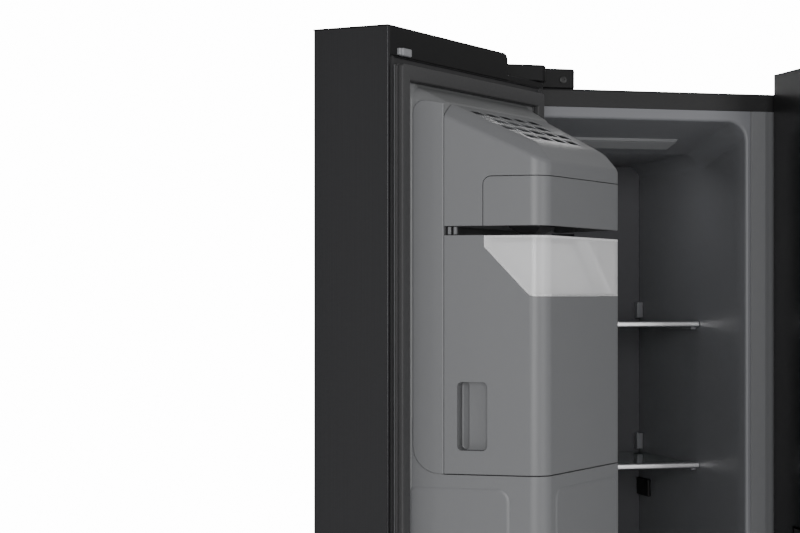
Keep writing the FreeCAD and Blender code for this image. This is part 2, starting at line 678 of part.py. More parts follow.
# Base: rails on four rollers and two levelling feet, and the grille at the front.
FOOT_X = "(cabinet_width/2 - foot_side)"
BASE_Y = ("rail_front", f"{BACK} - rail_back")
BASE_X = (f"{LEFT} + rail_inset", f"{RIGHT} - rail_inset")
FOOT_PLATE_Y = ("rail_front", "foot_front + 24")
base = [
    box("left_rail", (BASE_X[0], f"{BASE_X[0]} + base_rail"), BASE_Y, ("base_bottom", "cabinet_bottom")),
    box("right_rail", (f"{BASE_X[1]} - base_rail", BASE_X[1]), BASE_Y, ("base_bottom", "cabinet_bottom")),
    box("front_bar", BASE_X, ("rail_front", "rail_front + 24"), ("base_bottom + 14", "cabinet_bottom")),
    box("middle_bar", BASE_X, (f"{MACHINE_FRONT} - 14", f"{MACHINE_FRONT} + 14"),
        ("base_bottom + 14", "cabinet_bottom")),
    box("pan", BASE_X, (MACHINE_FRONT, BASE_Y[1]), ("cabinet_bottom - 3", "cabinet_bottom")),
    box("left_foot_plate", (f"-{FOOT_X} - 24", f"-{FOOT_X} + 24"), FOOT_PLATE_Y,
        ("cabinet_bottom - 8", "cabinet_bottom")),
    box("right_foot_plate", (f"{FOOT_X} - 24", f"{FOOT_X} + 24"), FOOT_PLATE_Y,
        ("cabinet_bottom - 8", "cabinet_bottom")),
]
for end, depth in (("front", "roller_front"), ("rear", f"({BACK} - roller_back)")):
    wheels = []
    for side, sign in (("left", "-"), ("right", "")):
        rail = f"{sign}(cabinet_width/2 - rail_inset - base_rail)"
        inward = "-" if sign == "" else "+"
        faces = [f"{rail} {inward} {gap}"
                 for gap in ("3", "(3 + roller_width)", "(6 + roller_width)", "(10 + roller_width)")]
        near, far, cheek, outer = faces
        wheel_x = (far, near) if sign == "" else (near, far)
        cheek_x = (outer, cheek) if sign == "" else (cheek, outer)
        axle_x = (cheek, rail) if sign == "" else (rail, cheek)
        base.append(box(f"{end}_{side}_cheek", cheek_x, (f"{depth} - 16", f"{depth} + 16"),
                        ("roller_radius - 10", "cabinet_bottom")))
        base.append(box(f"{end}_{side}_yoke", axle_x, (f"{depth} - 16", f"{depth} + 16"),
                        ("cabinet_bottom - 8", "cabinet_bottom")))
        base.append(box(f"{end}_{side}_drop", (f"{rail} - 4", rail) if sign == "-" else (rail, f"{rail} + 4"),
                        (f"{depth} - 16", f"{depth} + 16"), ("roller_radius - 10", "cabinet_bottom")))
        base.append(rod(f"{end}_{side}_axle", "x", "axle_radius", (axle_x[0], depth, "roller_radius"),
                        f"({axle_x[1]}) - ({axle_x[0]})"))
        tyre = rod(f"{end}_{side}_tyre", "x", "roller_radius", (wheel_x[0], depth, "roller_radius"),
                   "roller_width")
        bore = rod(f"{end}_{side}_bore", "x", "axle_radius + pin_clearance",
                   (f"{wheel_x[0]} - 1", depth, "roller_radius"), "roller_width + 2")
        wheels.append(cut(f"{end}_{side}_wheel", tyre, [bore]))
    node(group(end + "_wheels", wheels), end + "_rollers")
feet = []
foot_holes = []
for side, x in (("left", f"-{FOOT_X}"), ("right", FOOT_X)):
    pad = rod(f"{side}_foot_pad", "z", "foot_radius", (x, "foot_front", 0), "foot_height")
    stem = rod(f"{side}_foot_stem", "z", "stem_radius", (x, "foot_front", 0), "cabinet_bottom - 0.5")
    nut = rod(f"{side}_foot_nut", "z", "stem_radius + 5", (x, "foot_front", "cabinet_bottom - 16"), "8")
    feet.append(fuse(f"{side}_foot", [pad, stem, nut]))
    foot_holes.append(rod(f"{side}_foot_hole", "z", "stem_radius + pin_clearance",
                          (x, "foot_front", "cabinet_bottom - 9"), "10"))
node(group("feet", feet), "levelling_feet")

PIVOTS = {
    "freezer": (f"({LEFT} + pivot_side)", f"({INNER} - pivot_front)"),
    "fridge": (f"({RIGHT} - pivot_side)", f"({INNER} - pivot_front)"),
}
lower_plates = []
lower_pins = []
upper_hinges = []
for cold, (x, y) in PIVOTS.items():
    outer, inward = (f"{LEFT} + 3", "+") if cold == "freezer" else (f"{RIGHT} - 3", "-")
    sides = [outer, f"{outer} {inward} 44"]
    if cold == "fridge":
        sides.reverse()
    plate = box(cold + "_lower_plate", sides, (f"{y} - 14", 60),
                ("cabinet_bottom - hinge_plate", "cabinet_bottom"))
    pin = rod(cold + "_lower_pin", "z", "pin_radius", (x, y, "cabinet_bottom - hinge_plate"),
              "hinge_plate + (door_bottom - cabinet_bottom) + pin_length")
    collar = rod(cold + "_collar", "z", "pin_radius + 4", (x, y, "cabinet_bottom"),
                 "door_bottom - cabinet_bottom - 0.3")
    lower_plates.append(plate)
    lower_pins.append(fuse(cold + "_lower_hinge", [plate, pin, collar]))
    width = [outer, f"{outer} {inward} 100"]
    arm = [outer, f"{outer} {inward} 34"]
    if cold == "fridge":
        width.reverse()
        arm.reverse()
    leaf = box(cold + "_upper_leaf", width, (12, 70), ("cabinet_top", "cabinet_top + hinge_plate"))
    reach = box(cold + "_upper_arm", arm, (f"{y} - 12", 14), ("cabinet_top", "cabinet_top + hinge_plate"))
    upper_pin = rod(cold + "_upper_pin", "z", "pin_radius",
                    (x, y, "door_top - top_cap + notch_floor - pin_length"),
                    "cabinet_top + hinge_plate - (door_top - top_cap + notch_floor - pin_length)")
    upper_hinges.append(fuse(cold + "_upper_hinge", [leaf, reach, upper_pin]))
node(cut("base_whole", fuse("base_joined", base), foot_holes + lower_plates), "base_frame")
node(group("lower_hinges", lower_pins), "bottom_hinges")
node(group("upper_hinges", upper_hinges), "top_hinges")

kick = box("kick_plate", (f"{LEFT} + 8", f"{RIGHT} - 8"), ("rail_front - kick_thickness", "rail_front"),
           ("base_bottom - 16", "cabinet_bottom - hinge_plate - 1"))
kick_slots = [
    box(f"kick_slot_{k}", (f"{k - 6}*kick_pitch", f"{k - 6}*kick_pitch + kick_slot"), (0, "rail_front + 2"),
        ("base_bottom - 8", "base_bottom + 10"))
    for k in range(12)
]
node(cut("kick_grille_plate", kick, kick_slots), "kick_grille")

covers = []
for cold, (x, y) in PIVOTS.items():
    inward = "+" if cold == "freezer" else "-"
    edge = LEFT if cold == "freezer" else RIGHT

    def across_cover(start, stop):
        ends = [f"{edge} {inward} {start}", f"{edge} {inward} {stop}"]
        return ends if cold == "freezer" else ends[::-1]

    top = ("cabinet_top", "cabinet_top + hinge_cover_height")
    head_z = ("cabinet_top + hinge_plate + 2", "cabinet_top + hinge_cover_height")
    block = box(cold + "_cover_block", across_cover("0", "hinge_cover_length"), (2, "hinge_cover_depth"), top)
    head = box(cold + "_cover_head", across_cover("0", "cover_head"), (f"{y} - cover_reach", "3"), head_z)
    head_round = rounded(cold + "_cover_rounded", head, "boss_radius",
                         lambda edge_: upright(edge_) and edge_.CenterOfMass.y < size("gasket_gap") - 40)
    block_space = box(
        cold + "_cover_space",
        across_cover("cover_wall", "hinge_cover_length - cover_wall"),
        ("2 + cover_wall", "hinge_cover_depth - cover_wall"),
        ("cabinet_top - 1", "cabinet_top + hinge_cover_height - cover_wall"),
    )
    arm_space = box(
        cold + "_arm_space",
        across_cover("2", "42"),
        (f"{y} - 16", "12"),
        ("cabinet_top - 1", "cabinet_top + hinge_plate + 6"),
    )
    covers.append(
        cut(cold + "_hinge_cover", fuse(cold + "_cover_blank", [block, head_round]), [block_space, arm_space])
    )
node(group("hinge_covers_pair", covers), "hinge_covers")

# Machine compartment at the bottom of the back.
PAN_TOP = "cabinet_bottom"
COMPRESSOR_Y = f"({BACK} - compressor_back)"
shell = rod("compressor_can", "z", "compressor_radius", ("compressor_side", COMPRESSOR_Y, f"{PAN_TOP} + 22"),
            "compressor_height")
can = rounded("compressor_domed", shell, "foot_radius", lambda edge: True)
feet_plate = box("compressor_plate",
                 ("compressor_side - compressor_radius - 12", "compressor_side + compressor_radius + 12"),
                 (f"{COMPRESSOR_Y} - compressor_radius - 7", f"{COMPRESSOR_Y} + compressor_radius + 7"),
                 (f"{PAN_TOP} + 14", f"{PAN_TOP} + 26"))
mounts = [
    rod(f"grommet_{k}", "z", 10,
        (f"compressor_side + {2 * (k % 2) - 1}*(compressor_radius - 3)",
         f"{COMPRESSOR_Y} + {2 * (k // 2) - 1}*(compressor_radius - 8)", PAN_TOP), "16")
    for k in range(4)
]
node(fuse("compressor_whole", [can, feet_plate] + mounts), "compressor")
COOLING_FAN = (
    f"({LEFT} + cooling_fan_side)", f"({BACK} - cooling_fan_back)", f"({PAN_TOP} + cooling_fan_rise)"
)
node(
    tray("evaporating_tray", (f"{COOLING_FAN[0]} + 55", "compressor_side - compressor_radius - 52"),
         (f"{BACK} - 180", f"{BACK} - 30"), (PAN_TOP, f"{PAN_TOP} + 34"), "drawer_wall", "drawer_wall"),
    "drain_pan",
)
COIL_X = f"({LEFT} + condenser_inset)"
coils = [
    rod(f"coil_{row}_{k}", "x", 3,
        (COIL_X, f"{BACK} - 150 + {row}*condenser_row", f"{PAN_TOP} + ({k} + 1)*condenser_pitch"),
        "condenser_length")
    for row in range(4)
    for k in range(9)
]
ends = [
    box(f"coil_end_{k}",
        (f"{COIL_X} - 1 + {k}*(condenser_length - 1)", f"{COIL_X} + 2 + {k}*(condenser_length - 1)"),
        (f"{BACK} - 165", f"{BACK} - 136 + 3*condenser_row"), (PAN_TOP, f"{PAN_TOP} + 10*condenser_pitch"))
    for k in range(2)
]
node(fuse("condenser_core", coils + ends), "condenser")
node(fan("cooling", *COOLING_FAN, "cooling_fan_radius", 6, 35), "condenser_fan")
motor_body = motor("cooling_motor", *COOLING_FAN, f"{BACK} - 60")
motor_post = box("cooling_post", (f"{COOLING_FAN[0]} - 6", f"{COOLING_FAN[0]} + 6"),
                 (f"{BACK} - 76", f"{BACK} - 60"), (PAN_TOP, COOLING_FAN[2]))
node(group("motors", [air_motor, fuse("cooling_motor_post", [motor_body, motor_post])]), "fan_motors")

cover_plate = box("machine_plate", (f"{LEFT} + 2", f"{RIGHT} - 2"), (f"{BACK} - sheet_metal", BACK),
                  (f"{PAN_TOP} - 4", f"{MACHINE_TOP} - 0.5"))
louvres = [
    box(f"louvre_{row}_{k}",
        (f"{LEFT} + 75 + {k}*louvre_pitch", f"{LEFT} + 75 + {k}*louvre_pitch + louvre_length"),
        (f"{BACK} - 4", f"{BACK} + 1"),
        (f"{PAN_TOP} + 40 + {row}*louvre_row", f"{PAN_TOP} + 46 + {row}*louvre_row"))
    for row in range(7)
    for k in range(10)
]
cover_lip = box("machine_lip", (f"{LEFT} + 8", f"{RIGHT} - 8"), (f"{BACK} - 8", BACK),
                (f"{PAN_TOP} - 4", f"{PAN_TOP}"))
node(cut("machine_cover_plate", fuse("machine_cover_blank", [cover_plate, cover_lip]), louvres),
     "machine_cover")
VALVE_X = "(cabinet_width/2 - valve_inset)"
INLET_Z = f"({MACHINE_TOP} - 38)"
valve_body = box("valve_body", (f"{VALVE_X} - 22", f"{VALVE_X} + 22"),
                 (f"{BACK} - 46", f"{BACK} - sheet_metal"), (f"{INLET_Z} - 24", f"{INLET_Z} + 24"))
valve_flange = box("valve_flange", (f"{VALVE_X} - 24", f"{VALVE_X} + 24"), (BACK, f"{BACK} + 3"),
                   (f"{INLET_Z} - 26", f"{INLET_Z} + 26"))
spigot = rod("valve_spigot", "y", "inlet_radius", (VALVE_X, f"{BACK} + 2", INLET_Z), "inlet_length + 1")
node(group("valve", [valve_body, fuse("valve_front", [valve_flange, spigot])]), "water_valve")
gland = rod("gland_boss", "y", "gland_radius", (f"{LEFT} + gland_inset", BACK, INLET_Z), "gland_length")
node(gland, "cord_gland")


# Doors, drawn shut.  Distances across a door start at its free edge; depths start at its inner face.
DOOR_WIDTH = {"freezer": "freezer_door_width", "fridge": "(cabinet_width - freezer_door_width - door_gap)"}


def across(cold, start, stop):
    """The pair of X places between two distances from a door's free edge."""
    if cold == "freezer":
        return f"{FREEZER_EDGE} - ({stop})", f"{FREEZER_EDGE} - ({start})"
    return f"{FRIDGE_EDGE} + ({start})", f"{FRIDGE_EDGE} + ({stop})"


def deep(start, stop):
    """The pair of Y places between two depths into the compartment from the door's inner face."""
    return f"{INNER} + ({start})", f"{INNER} + ({stop})"


def ring(name, cold):
    """The moulded dike round a door's inner face: a frustum with an upright opening through it."""
    width = DOOR_WIDTH[cold]
    outside = frustum(
        name + "_outside",
        deep("0", "dike_depth"),
        across(cold, "dike_inset", f"{width} - dike_hinge_inset"),
        ("door_bottom + dike_rise", "door_top - dike_drop"),
        across(cold, "dike_crest_inset", f"{width} - dike_crest_inset"),
        ("door_bottom + dike_crest_rise", "door_top - dike_crest_drop"),
    )
    inset = "dike_crest_inset + dike_wall"
    inside = box(name + "_inside", across(cold, inset, f"{width} - ({inset})"), deep("-1", "dike_depth + 1"),
                 ("door_bottom + dike_crest_rise + dike_wall", "door_top - dike_crest_drop - dike_wall"))
    return cut(name, outside, [inside])


DOOR_NODES = {"freezer": [], "fridge": []}


def door_node(piece, label, cold):
    """Names a sub-part that belongs to a door."""
    DOOR_NODES[cold].append(label)
    return node(piece, label)


CAP_LOW = "(door_top - top_cap)"
NOTCH_TOP = f"({CAP_LOW} + notch_floor)"
SKIN_LOW = "(door_bottom + bottom_cap)"
SKIN_TOP = "(door_top - cap_lip)"
RECESS_TOP = "(dispenser_bottom + dispenser_height - control_height)"


def chute_sides(inset):
    """The pair of X places of the ice chute's sides, moved in by an inset."""
    return across("freezer", f"chute_start + {inset}", f"chute_start + chute_width - {inset}")


DISPENSER = (
    across("freezer", "dispenser_start + 2", "dispenser_start + dispenser_width - 2"),
    (FRONT, f"{FRONT} + recess_depth"),
    ("dispenser_bottom + 2", "dispenser_bottom + dispenser_height - 2"),
)
chute_space = prism(
    "chute_space", "YZ_Plane",
    [
        (f"{INNER} + chute_near", "bucket_bottom - 3"), (f"{INNER} + chute_far", "bucket_bottom - 3"),
        (f"{FRONT} + recess_depth - 14", f"{RECESS_TOP} - 22"),
        (f"{FRONT} + recess_depth - 48", f"{RECESS_TOP} - 22"),
        (f"{FRONT} + recess_depth - 48", f"{RECESS_TOP} + 4"),
    ],
    *chute_sides("0"),
)
for cold in ("freezer", "fridge"):
    width = DOOR_WIDTH[cold]
    pivot_x, pivot_y = PIVOTS[cold]
    notch = f"({width} - notch_length)"
    outside = box(cold + "_skin_outside", across(cold, "0", width), (FRONT, INNER), (SKIN_LOW, SKIN_TOP))
    outside_round = rounded(
        cold + "_skin_rounded", outside, "edge_round",
        lambda edge: upright(edge) and edge.CenterOfMass.y < -size("gasket_gap") - 1,
    )
    inside = box(cold + "_skin_inside", across(cold, "door_skin", f"{width} - door_skin"),
                 (f"{FRONT} + door_skin", f"{INNER} + 1"), (f"{SKIN_LOW} - 1", f"{SKIN_TOP} + 1"))
    skin_notch = box(cold + "_skin_notch", across(cold, notch, f"{width} + 1"),
                     (f"{FRONT} + door_skin + cap_wall", f"{INNER} + 1"), (NOTCH_TOP, f"{SKIN_TOP} + 1"))
    grip_z = ("grip_bottom", "grip_bottom + grip_height")
    grip_mouth = box(cold + "_grip_mouth", across(cold, "-1", "grip_opening"),
                     (f"{FRONT} - 1", f"{FRONT} + grip_deep"), grip_z)
    grip_outer = box(cold + "_grip_outer", across(cold, "0", "grip_opening + grip_hook + grip_wall"),
                     (f"{FRONT} + door_skin", f"{FRONT} + grip_deep + grip_wall"),
                     ("grip_bottom - grip_wall", "grip_bottom + grip_height + grip_wall"))
    grip_hook = box(cold + "_grip_hook", across(cold, "-1", "grip_opening + grip_hook"),
                    (f"{FRONT} + grip_lip", f"{FRONT} + grip_deep"), grip_z)
    skin_side = box(cold + "_grip_side", across(cold, "-1", "door_skin + 1"),
                    (f"{FRONT} - 1", f"{FRONT} + grip_deep + grip_wall"),
                    ("grip_bottom - grip_wall", "grip_bottom + grip_height + grip_wall"))
    skin_tools = [inside, skin_notch, grip_mouth, skin_side]
    foam_tools = [grip_outer]
    plate_tools = []
    if cold == "freezer":
        skin_tools.append(box("dispenser_window", DISPENSER[0], (f"{FRONT} - 1", f"{FRONT} + 3"), DISPENSER[2]))
        foam_tools.append(box("dispenser_pocket", *DISPENSER))
        foam_tools.append(chute_space)
        plate_tools.append(chute_space)
    door_node(cut(cold + "_skin", outside_round, skin_tools), cold + "_door_skin", cold)
    door_node(cut(cold + "_grip", grip_outer, [grip_mouth, grip_hook]), cold + "_door_handle", cold)

    # Top cap: it stands inside the steel, raised between the free edge and the hinge notch, and its lip
    # covers the steel's edge.  It is hollow, with a boss for the pin.
    profile = [("door_skin", CAP_LOW), (f"{width} - door_skin", CAP_LOW), (f"{width} - door_skin", NOTCH_TOP),
               (notch, NOTCH_TOP), (notch, "door_top"), (0, "door_top"), (0, SKIN_TOP), ("door_skin", SKIN_TOP)]
    near_wall = "(door_skin + cap_wall)"
    hollow = [(near_wall, f"{CAP_LOW} - 1"), (f"{width} - {near_wall}", f"{CAP_LOW} - 1"),
              (f"{width} - {near_wall}", f"{NOTCH_TOP} - cap_wall"),
              (f"{notch} - cap_wall", f"{NOTCH_TOP} - cap_wall"),
              (f"{notch} - cap_wall", "door_top - cap_wall"), (near_wall, "door_top - cap_wall")]

    def placed(points):
        return [(across(cold, along, along)[0], height) for along, height in points]

    cap_body = prism(cold + "_cap_body", "XZ_Plane", placed(profile), "gasket_gap",
                     "gasket_gap + door_thickness - door_skin")
    cap_rib = box(cold + "_cap_rib", across(cold, f"{notch} - cap_wall", f"{width} - door_skin"),
                  (f"{FRONT} + door_skin", f"{FRONT} + {near_wall}"), (CAP_LOW, "door_top"))
    cap_edge = box(cold + "_cap_edge", across(cold, "0", width), (FRONT, f"{FRONT} + {near_wall}"),
                   (SKIN_TOP, "door_top"))
    cap_round = rounded(
        cold + "_cap_rounded", cap_body, "cap_round",
        lambda edge: abs(edge.tangentAt(edge.FirstParameter).y) > 0.999
        and abs(edge.CenterOfMass.z - size("door_top")) < 0.1
        and min(abs(edge.CenterOfMass.x + size("cabinet_width") / 2 - size("freezer_door_width")),
                abs(edge.CenterOfMass.x + size("cabinet_width") / 2 - size("freezer_door_width")
                    - size("door_gap"))) > 10,
    )
    cap_hollow = prism(cold + "_cap_hollow", "XZ_Plane", placed(hollow), "gasket_gap + cap_wall",
                       f"gasket_gap + door_thickness - {near_wall}")
    boss_top = rod(cold + "_cap_boss", "z", "boss_radius",
                   (pivot_x, pivot_y, f"{NOTCH_TOP} - pin_length - 3"), "pin_length + 3")
    bore_top = rod(cold + "_cap_bore", "z", "pin_radius + pin_clearance",
                   (pivot_x, pivot_y, f"{NOTCH_TOP} - pin_length - 0.3"), "pin_length + 5")
    cap_shell = cut(cold + "_cap_shell", fuse(cold + "_cap_blank", [cap_round, cap_edge]), [cap_hollow])
    cap = cut(cold + "_cap", fuse(cold + "_cap_joined", [cap_shell, cap_rib, boss_top]), [bore_top])
    bottom = box(cold + "_bottom_block", across(cold, "0", width), (FRONT, INNER), ("door_bottom", SKIN_LOW))
    bottom_hollow = box(cold + "_bottom_hollow", across(cold, "cap_wall", f"{width} - cap_wall"),
                        (f"{FRONT} + cap_wall", f"{INNER} - cap_wall"),
                        ("door_bottom + cap_wall", f"{SKIN_LOW} + 1"))
    boss_low = rod(cold + "_bottom_boss", "z", "boss_radius", (pivot_x, pivot_y, "door_bottom"),
                   "pin_length + 4")
    bore_low = rod(cold + "_bottom_bore", "z", "pin_radius + pin_clearance",
                   (pivot_x, pivot_y, "door_bottom - 1"), "pin_length + 1.3")
    foot_cap = cut(cold + "_bottom", fuse(cold + "_bottom_joined",
                                          [cut(cold + "_bottom_shell", bottom, [bottom_hollow]), boss_low]),
                   [bore_low])
    door_node(group(cold + "_caps", [cap, foot_cap]), cold + "_door_caps", cold)

    # Foam, inner liner with its dike, and the magnetic gasket.
    foam = box(cold + "_door_foam", across(cold, "door_skin", f"{width} - door_skin"),
               (f"{FRONT} + door_skin", f"{INNER} - liner_wall"), (SKIN_LOW, CAP_LOW))
    door_node(cut(cold + "_foam", foam, foam_tools + [boss_low, boss_top]), cold + "_door_insulation", cold)
    plate = box(cold + "_liner_plate", across(cold, "door_skin", f"{width} - door_skin"),
                (f"{INNER} - liner_wall", INNER), (SKIN_LOW, CAP_LOW))
    liner_whole = fuse(cold + "_liner_whole", [plate, ring(cold + "_dike", cold)])
    door_node(cut(cold + "_liner_cut", liner_whole, plate_tools) if plate_tools else liner_whole,
              cold + "_door_liner", cold)
    seal_y = (INNER, "-seal_clearance")
    seal_outside = box(cold + "_seal_outside", across(cold, "gasket_inset", f"{width} - gasket_inset"), seal_y,
                       ("door_bottom + gasket_inset", f"{CAP_LOW} - gasket_inset/2"))
    seal_inside = box(cold + "_seal_inside",
                      across(cold, "gasket_inset + gasket_width", f"{width} - gasket_inset - gasket_width"),
                      (f"{INNER} - 1", 1),
                      ("door_bottom + gasket_inset + gasket_width",
                       f"{CAP_LOW} - gasket_inset/2 - gasket_width"))
    door_node(cut(cold + "_seal", seal_outside, [seal_inside]), cold + "_door_gasket", cold)

# Bins: open trays between the dikes.
BIN_COUNT = {"freezer": 3, "fridge": 5}
for cold, count in BIN_COUNT.items():
    width = DOOR_WIDTH[cold]
    bottoms = [f"first_bin + {k}*{cold}_bin_pitch" for k in range(count)]
    bins = [
        tray(
            f"{cold}_bin_{k + 1}",
            across(cold, "dike_crest_inset + dike_wall + 10", f"{width} - dike_crest_inset - dike_wall - 2"),
            deep("0", "bin_depth"),
            (bottom, f"{bottom} + bin_height"),
            "drawer_wall",
            "drawer_wall",
        )
        for k, bottom in enumerate(bottoms)
    ]
    door_node(group(cold + "_bins", bins), cold + "_door_bins", cold)

# Ice unit on the freezer door: one plan shape runs through the housing, the bucket and the cover.


def module_plan(name, wall, near, low, high):
    """The ice unit's plan shape, narrower at its front, shrunk by a wall, between two heights."""
    half = f"(dike_crest_inset + {wall})"
    far_side = f"(freezer_door_width - dike_crest_inset - {wall})"
    points = [
        (half, near),
        (f"module_side + {wall}", f"module_depth - {wall}"),
        (f"module_far - {wall}", f"module_depth - {wall}"),
        (far_side, near),
    ]
    return prism(name, "XY_Plane", [(across("freezer", along, along)[0], deep(depth, depth)[0])
                                    for along, depth in points], low, high)


def front_corner(edge):
    """Whether an edge is the upright one at the ice unit's free front corner."""
    x = size("freezer_door_width") - size("cabinet_width") / 2 - size("module_side")
    return upright(edge) and abs(edge.CenterOfMass.x - x) < 4 and edge.CenterOfMass.y > size("dike_depth") + 20


SEAM = "dike_depth + seal_clearance"


def module_shell(name, low, high, floor, ceiling):
    """A wall that follows the ice unit's plan, with a floor or a ceiling where their thickness isn't nought."""
    plan = module_plan(name + "_out", "0", SEAM, low, high)
    solid = rounded(name + "_solid", plan, "module_round", front_corner)
    space = module_plan(name + "_in", "module_wall", f"{SEAM} + module_wall", f"{low} + {floor}",
                        f"{high} - {ceiling}")
    return cut(name, solid, [space])


housing_back = f"{SEAM} + module_wall"
housing_shell = module_shell("housing_shell", "housing_bottom", "bucket_bottom - part_gap", "module_wall",
                             "module_wall")
housing_spine = box("housing_spine", across("freezer", "dike_crest_inset + dike_wall + 6",
                                            "freezer_door_width - dike_crest_inset - dike_wall - 6"),
                    deep("0", housing_back), ("housing_bottom", "bucket_bottom - part_gap"))
spine_space = box("spine_space", across("freezer", "dike_crest_inset + dike_wall + 9",
                                        "freezer_door_width - dike_crest_inset - dike_wall - 9"),
                  deep("-1", f"{housing_back} + 1"),
                  ("housing_bottom + module_wall", "bucket_bottom - part_gap - module_wall"))
upper_plate = box("upper_plate", across("freezer", "dike_crest_inset + dike_wall + 6",
                                        "freezer_door_width - dike_crest_inset - dike_wall - 6"),
                  deep("0", SEAM), ("bucket_bottom - part_gap", "cover_crest - 20"))
upper_space = box("upper_space", across("freezer", "dike_crest_inset + dike_wall + 9",
                                        "freezer_door_width - dike_crest_inset - dike_wall - 9"),
                  deep("-1", f"{SEAM} - module_wall"), ("bucket_bottom + 2", "cover_crest - 20 - module_wall"))
outlet_hole = box("outlet_hole", chute_sides("5"), deep("chute_near + 2", "chute_far - 2"),
                  ("bucket_bottom - part_gap - module_wall - 1", "bucket_bottom + 1"))
AUGER_X = f"({FREEZER_EDGE} - auger_side)"
AUGER_Z = "(bucket_bottom + module_wall + auger_height)"
drive_bore = rod("drive_bore", "y", "auger_shaft + 3",
                 (AUGER_X, f"{INNER} + {SEAM} - module_wall - 2", AUGER_Z), "8")
door_node(
    cut("housing", fuse("housing_blank", [housing_shell, housing_spine, upper_plate]),
        [spine_space, upper_space, outlet_hole, drive_bore]),
    "ice_unit_housing", "freezer",
)

chute_outer = common("chute_outer", chute_space,
                     box("chute_room", chute_sides("part_gap"), (FRONT, f"{INNER} + module_depth"),
                         ("dispenser_bottom", "bucket_bottom - 4")))
chute_inner = prism(
    "chute_inner", "YZ_Plane",
    [
        (f"{INNER} + chute_near + 4", "bucket_bottom"), (f"{INNER} + chute_far - 4", "bucket_bottom"),
        (f"{FRONT} + recess_depth - 18", f"{RECESS_TOP} - 26"),
        (f"{FRONT} + recess_depth - 45", f"{RECESS_TOP} - 26"),
        (f"{FRONT} + recess_depth - 45", f"{RECESS_TOP} + 2"),
    ],
    *chute_sides("(part_gap + module_wall)"),
)
door_node(cut("chute_tube", chute_outer, [chute_inner]), "ice_chute", "freezer")

# Bucket: it slides straight off the door.
bucket_shell = module_shell("bucket_shell", "bucket_bottom", "bucket_top", "module_wall", "-1")
pocket_block = common(
    "pocket_block",
    module_plan("pocket_plan", "0.5", SEAM, "grip_pocket_bottom - module_wall",
                "grip_pocket_bottom + grip_pocket_height + module_wall"),
    box("pocket_room", across("freezer", "40", "module_side + grip_pocket_deep"),
        deep("grip_pocket_start - module_wall", "grip_pocket_start + grip_pocket_width + module_wall"),
        ("bucket_bottom", "bucket_top")),
)
pocket_space = box("pocket_space", across("freezer", "40", "module_side + grip_pocket_deep - module_wall"),
                   deep("grip_pocket_start", "grip_pocket_start + grip_pocket_width"),
                   ("grip_pocket_bottom", "grip_pocket_bottom + grip_pocket_height"))
window_sides = [
    (f"{INNER} + window_start", "bucket_top + 2"),
    (f"{INNER} + window_start", "bucket_top - window_drop"),
    (f"{INNER} + window_slant_end", "bucket_top - window_height"),
    (f"{INNER} + module_depth + 5", "bucket_top - window_height"),
    (f"{INNER} + module_depth + 5", "bucket_top + 2"),
]
window_room = prism("window_room", "YZ_Plane", window_sides, LEFT, FREEZER_EDGE)
bucket_outlet = box("bucket_outlet", chute_sides("7"), deep("chute_near + 4", "chute_far - 4"),
                    ("bucket_bottom - 1", "bucket_bottom + module_wall + 1"))
shaft_hole = rod("shaft_hole", "y", "auger_shaft + pin_clearance",
                 (AUGER_X, f"{INNER} + {SEAM} - 1", AUGER_Z), "module_wall + 2")
door_node(
    cut("bucket", fuse("bucket_blank", [bucket_shell, pocket_block]),
        [pocket_space, window_room, bucket_outlet, shaft_hole]),
    "ice_bucket", "freezer",
)
window_shell = cut(
    "window_shell",
    rounded("window_solid", module_plan("window_out", "0", SEAM, "bucket_top - window_height", "bucket_top"),
            "module_round", front_corner),
    [module_plan("window_in", "module_wall", f"{SEAM} + module_wall", "bucket_top - window_height - 1",
                 "bucket_top + 1")],
)
door_node(common("window", window_shell, window_room), "ice_bucket_window", "freezer")

auger_parts = [
    rod("auger_shaft_rod", "y", "auger_shaft", (AUGER_X, f"{INNER} + {SEAM} - module_wall", AUGER_Z),
        "module_depth - dike_depth - 12"),
]
AUGER_BLADES = 8
for k in range(AUGER_BLADES):
    blade = box(f"auger_blade_{k + 1}", (2, "auger_radius"), (-2.5, 2.5), (-5, 5))
    turned = doc.addObject("Part::Compound", f"auger_turned_{k + 1}")
    turned.Links = [blade]
    turned.Placement = FreeCAD.Placement(
        FreeCAD.Vector(0, 0, 0), FreeCAD.Rotation(FreeCAD.Vector(0, 1, 0), 360 * k / AUGER_BLADES)
    )
    turned.setExpression("Placement.Base.x", bound(AUGER_X))
    turned.setExpression("Placement.Base.y", bound(f"{INNER} + dike_depth + 14 + {k}*10"))
    turned.setExpression("Placement.Base.z", bound(AUGER_Z))
    auger_parts.append(turned)
door_node(fuse("auger", auger_parts), "ice_auger", "freezer")

# Ice maker's cover: vents in its sloped top, and a flap at its lower front.
cover_side = prism(
    "cover_side", "YZ_Plane",
    [
        (f"{INNER} + {SEAM}", "cover_bottom"), (f"{INNER} + module_depth", "cover_bottom"),
        (f"{INNER} + module_depth", "cover_front - cover_chamfer"),
        (f"{INNER} + module_depth - cover_chamfer", "cover_front"),
        (f"{INNER} + {SEAM}", "cover_crest"),
    ],
    LEFT, FREEZER_EDGE,
)
cover_inside = prism(
    "cover_inside", "YZ_Plane",
    [
        (f"{INNER} + {SEAM} - 1", "cover_bottom - 1"),
        (f"{INNER} + module_depth - module_wall", "cover_bottom - 1"),
        (f"{INNER} + module_depth - module_wall", "cover_front - cover_chamfer - 1"),
        (f"{INNER} + module_depth - cover_chamfer - 1", "cover_front - module_wall"),
        (f"{INNER} + {SEAM} - 1", "cover_crest - module_wall"),
    ],
    LEFT, FREEZER_EDGE,
)
cover_solid = common(
    "cover_solid",
    rounded("cover_rounded", module_plan("cover_plan", "0", SEAM, "cover_bottom", "cover_crest + 1"),
            "module_round", front_corner),
    cover_side,
)
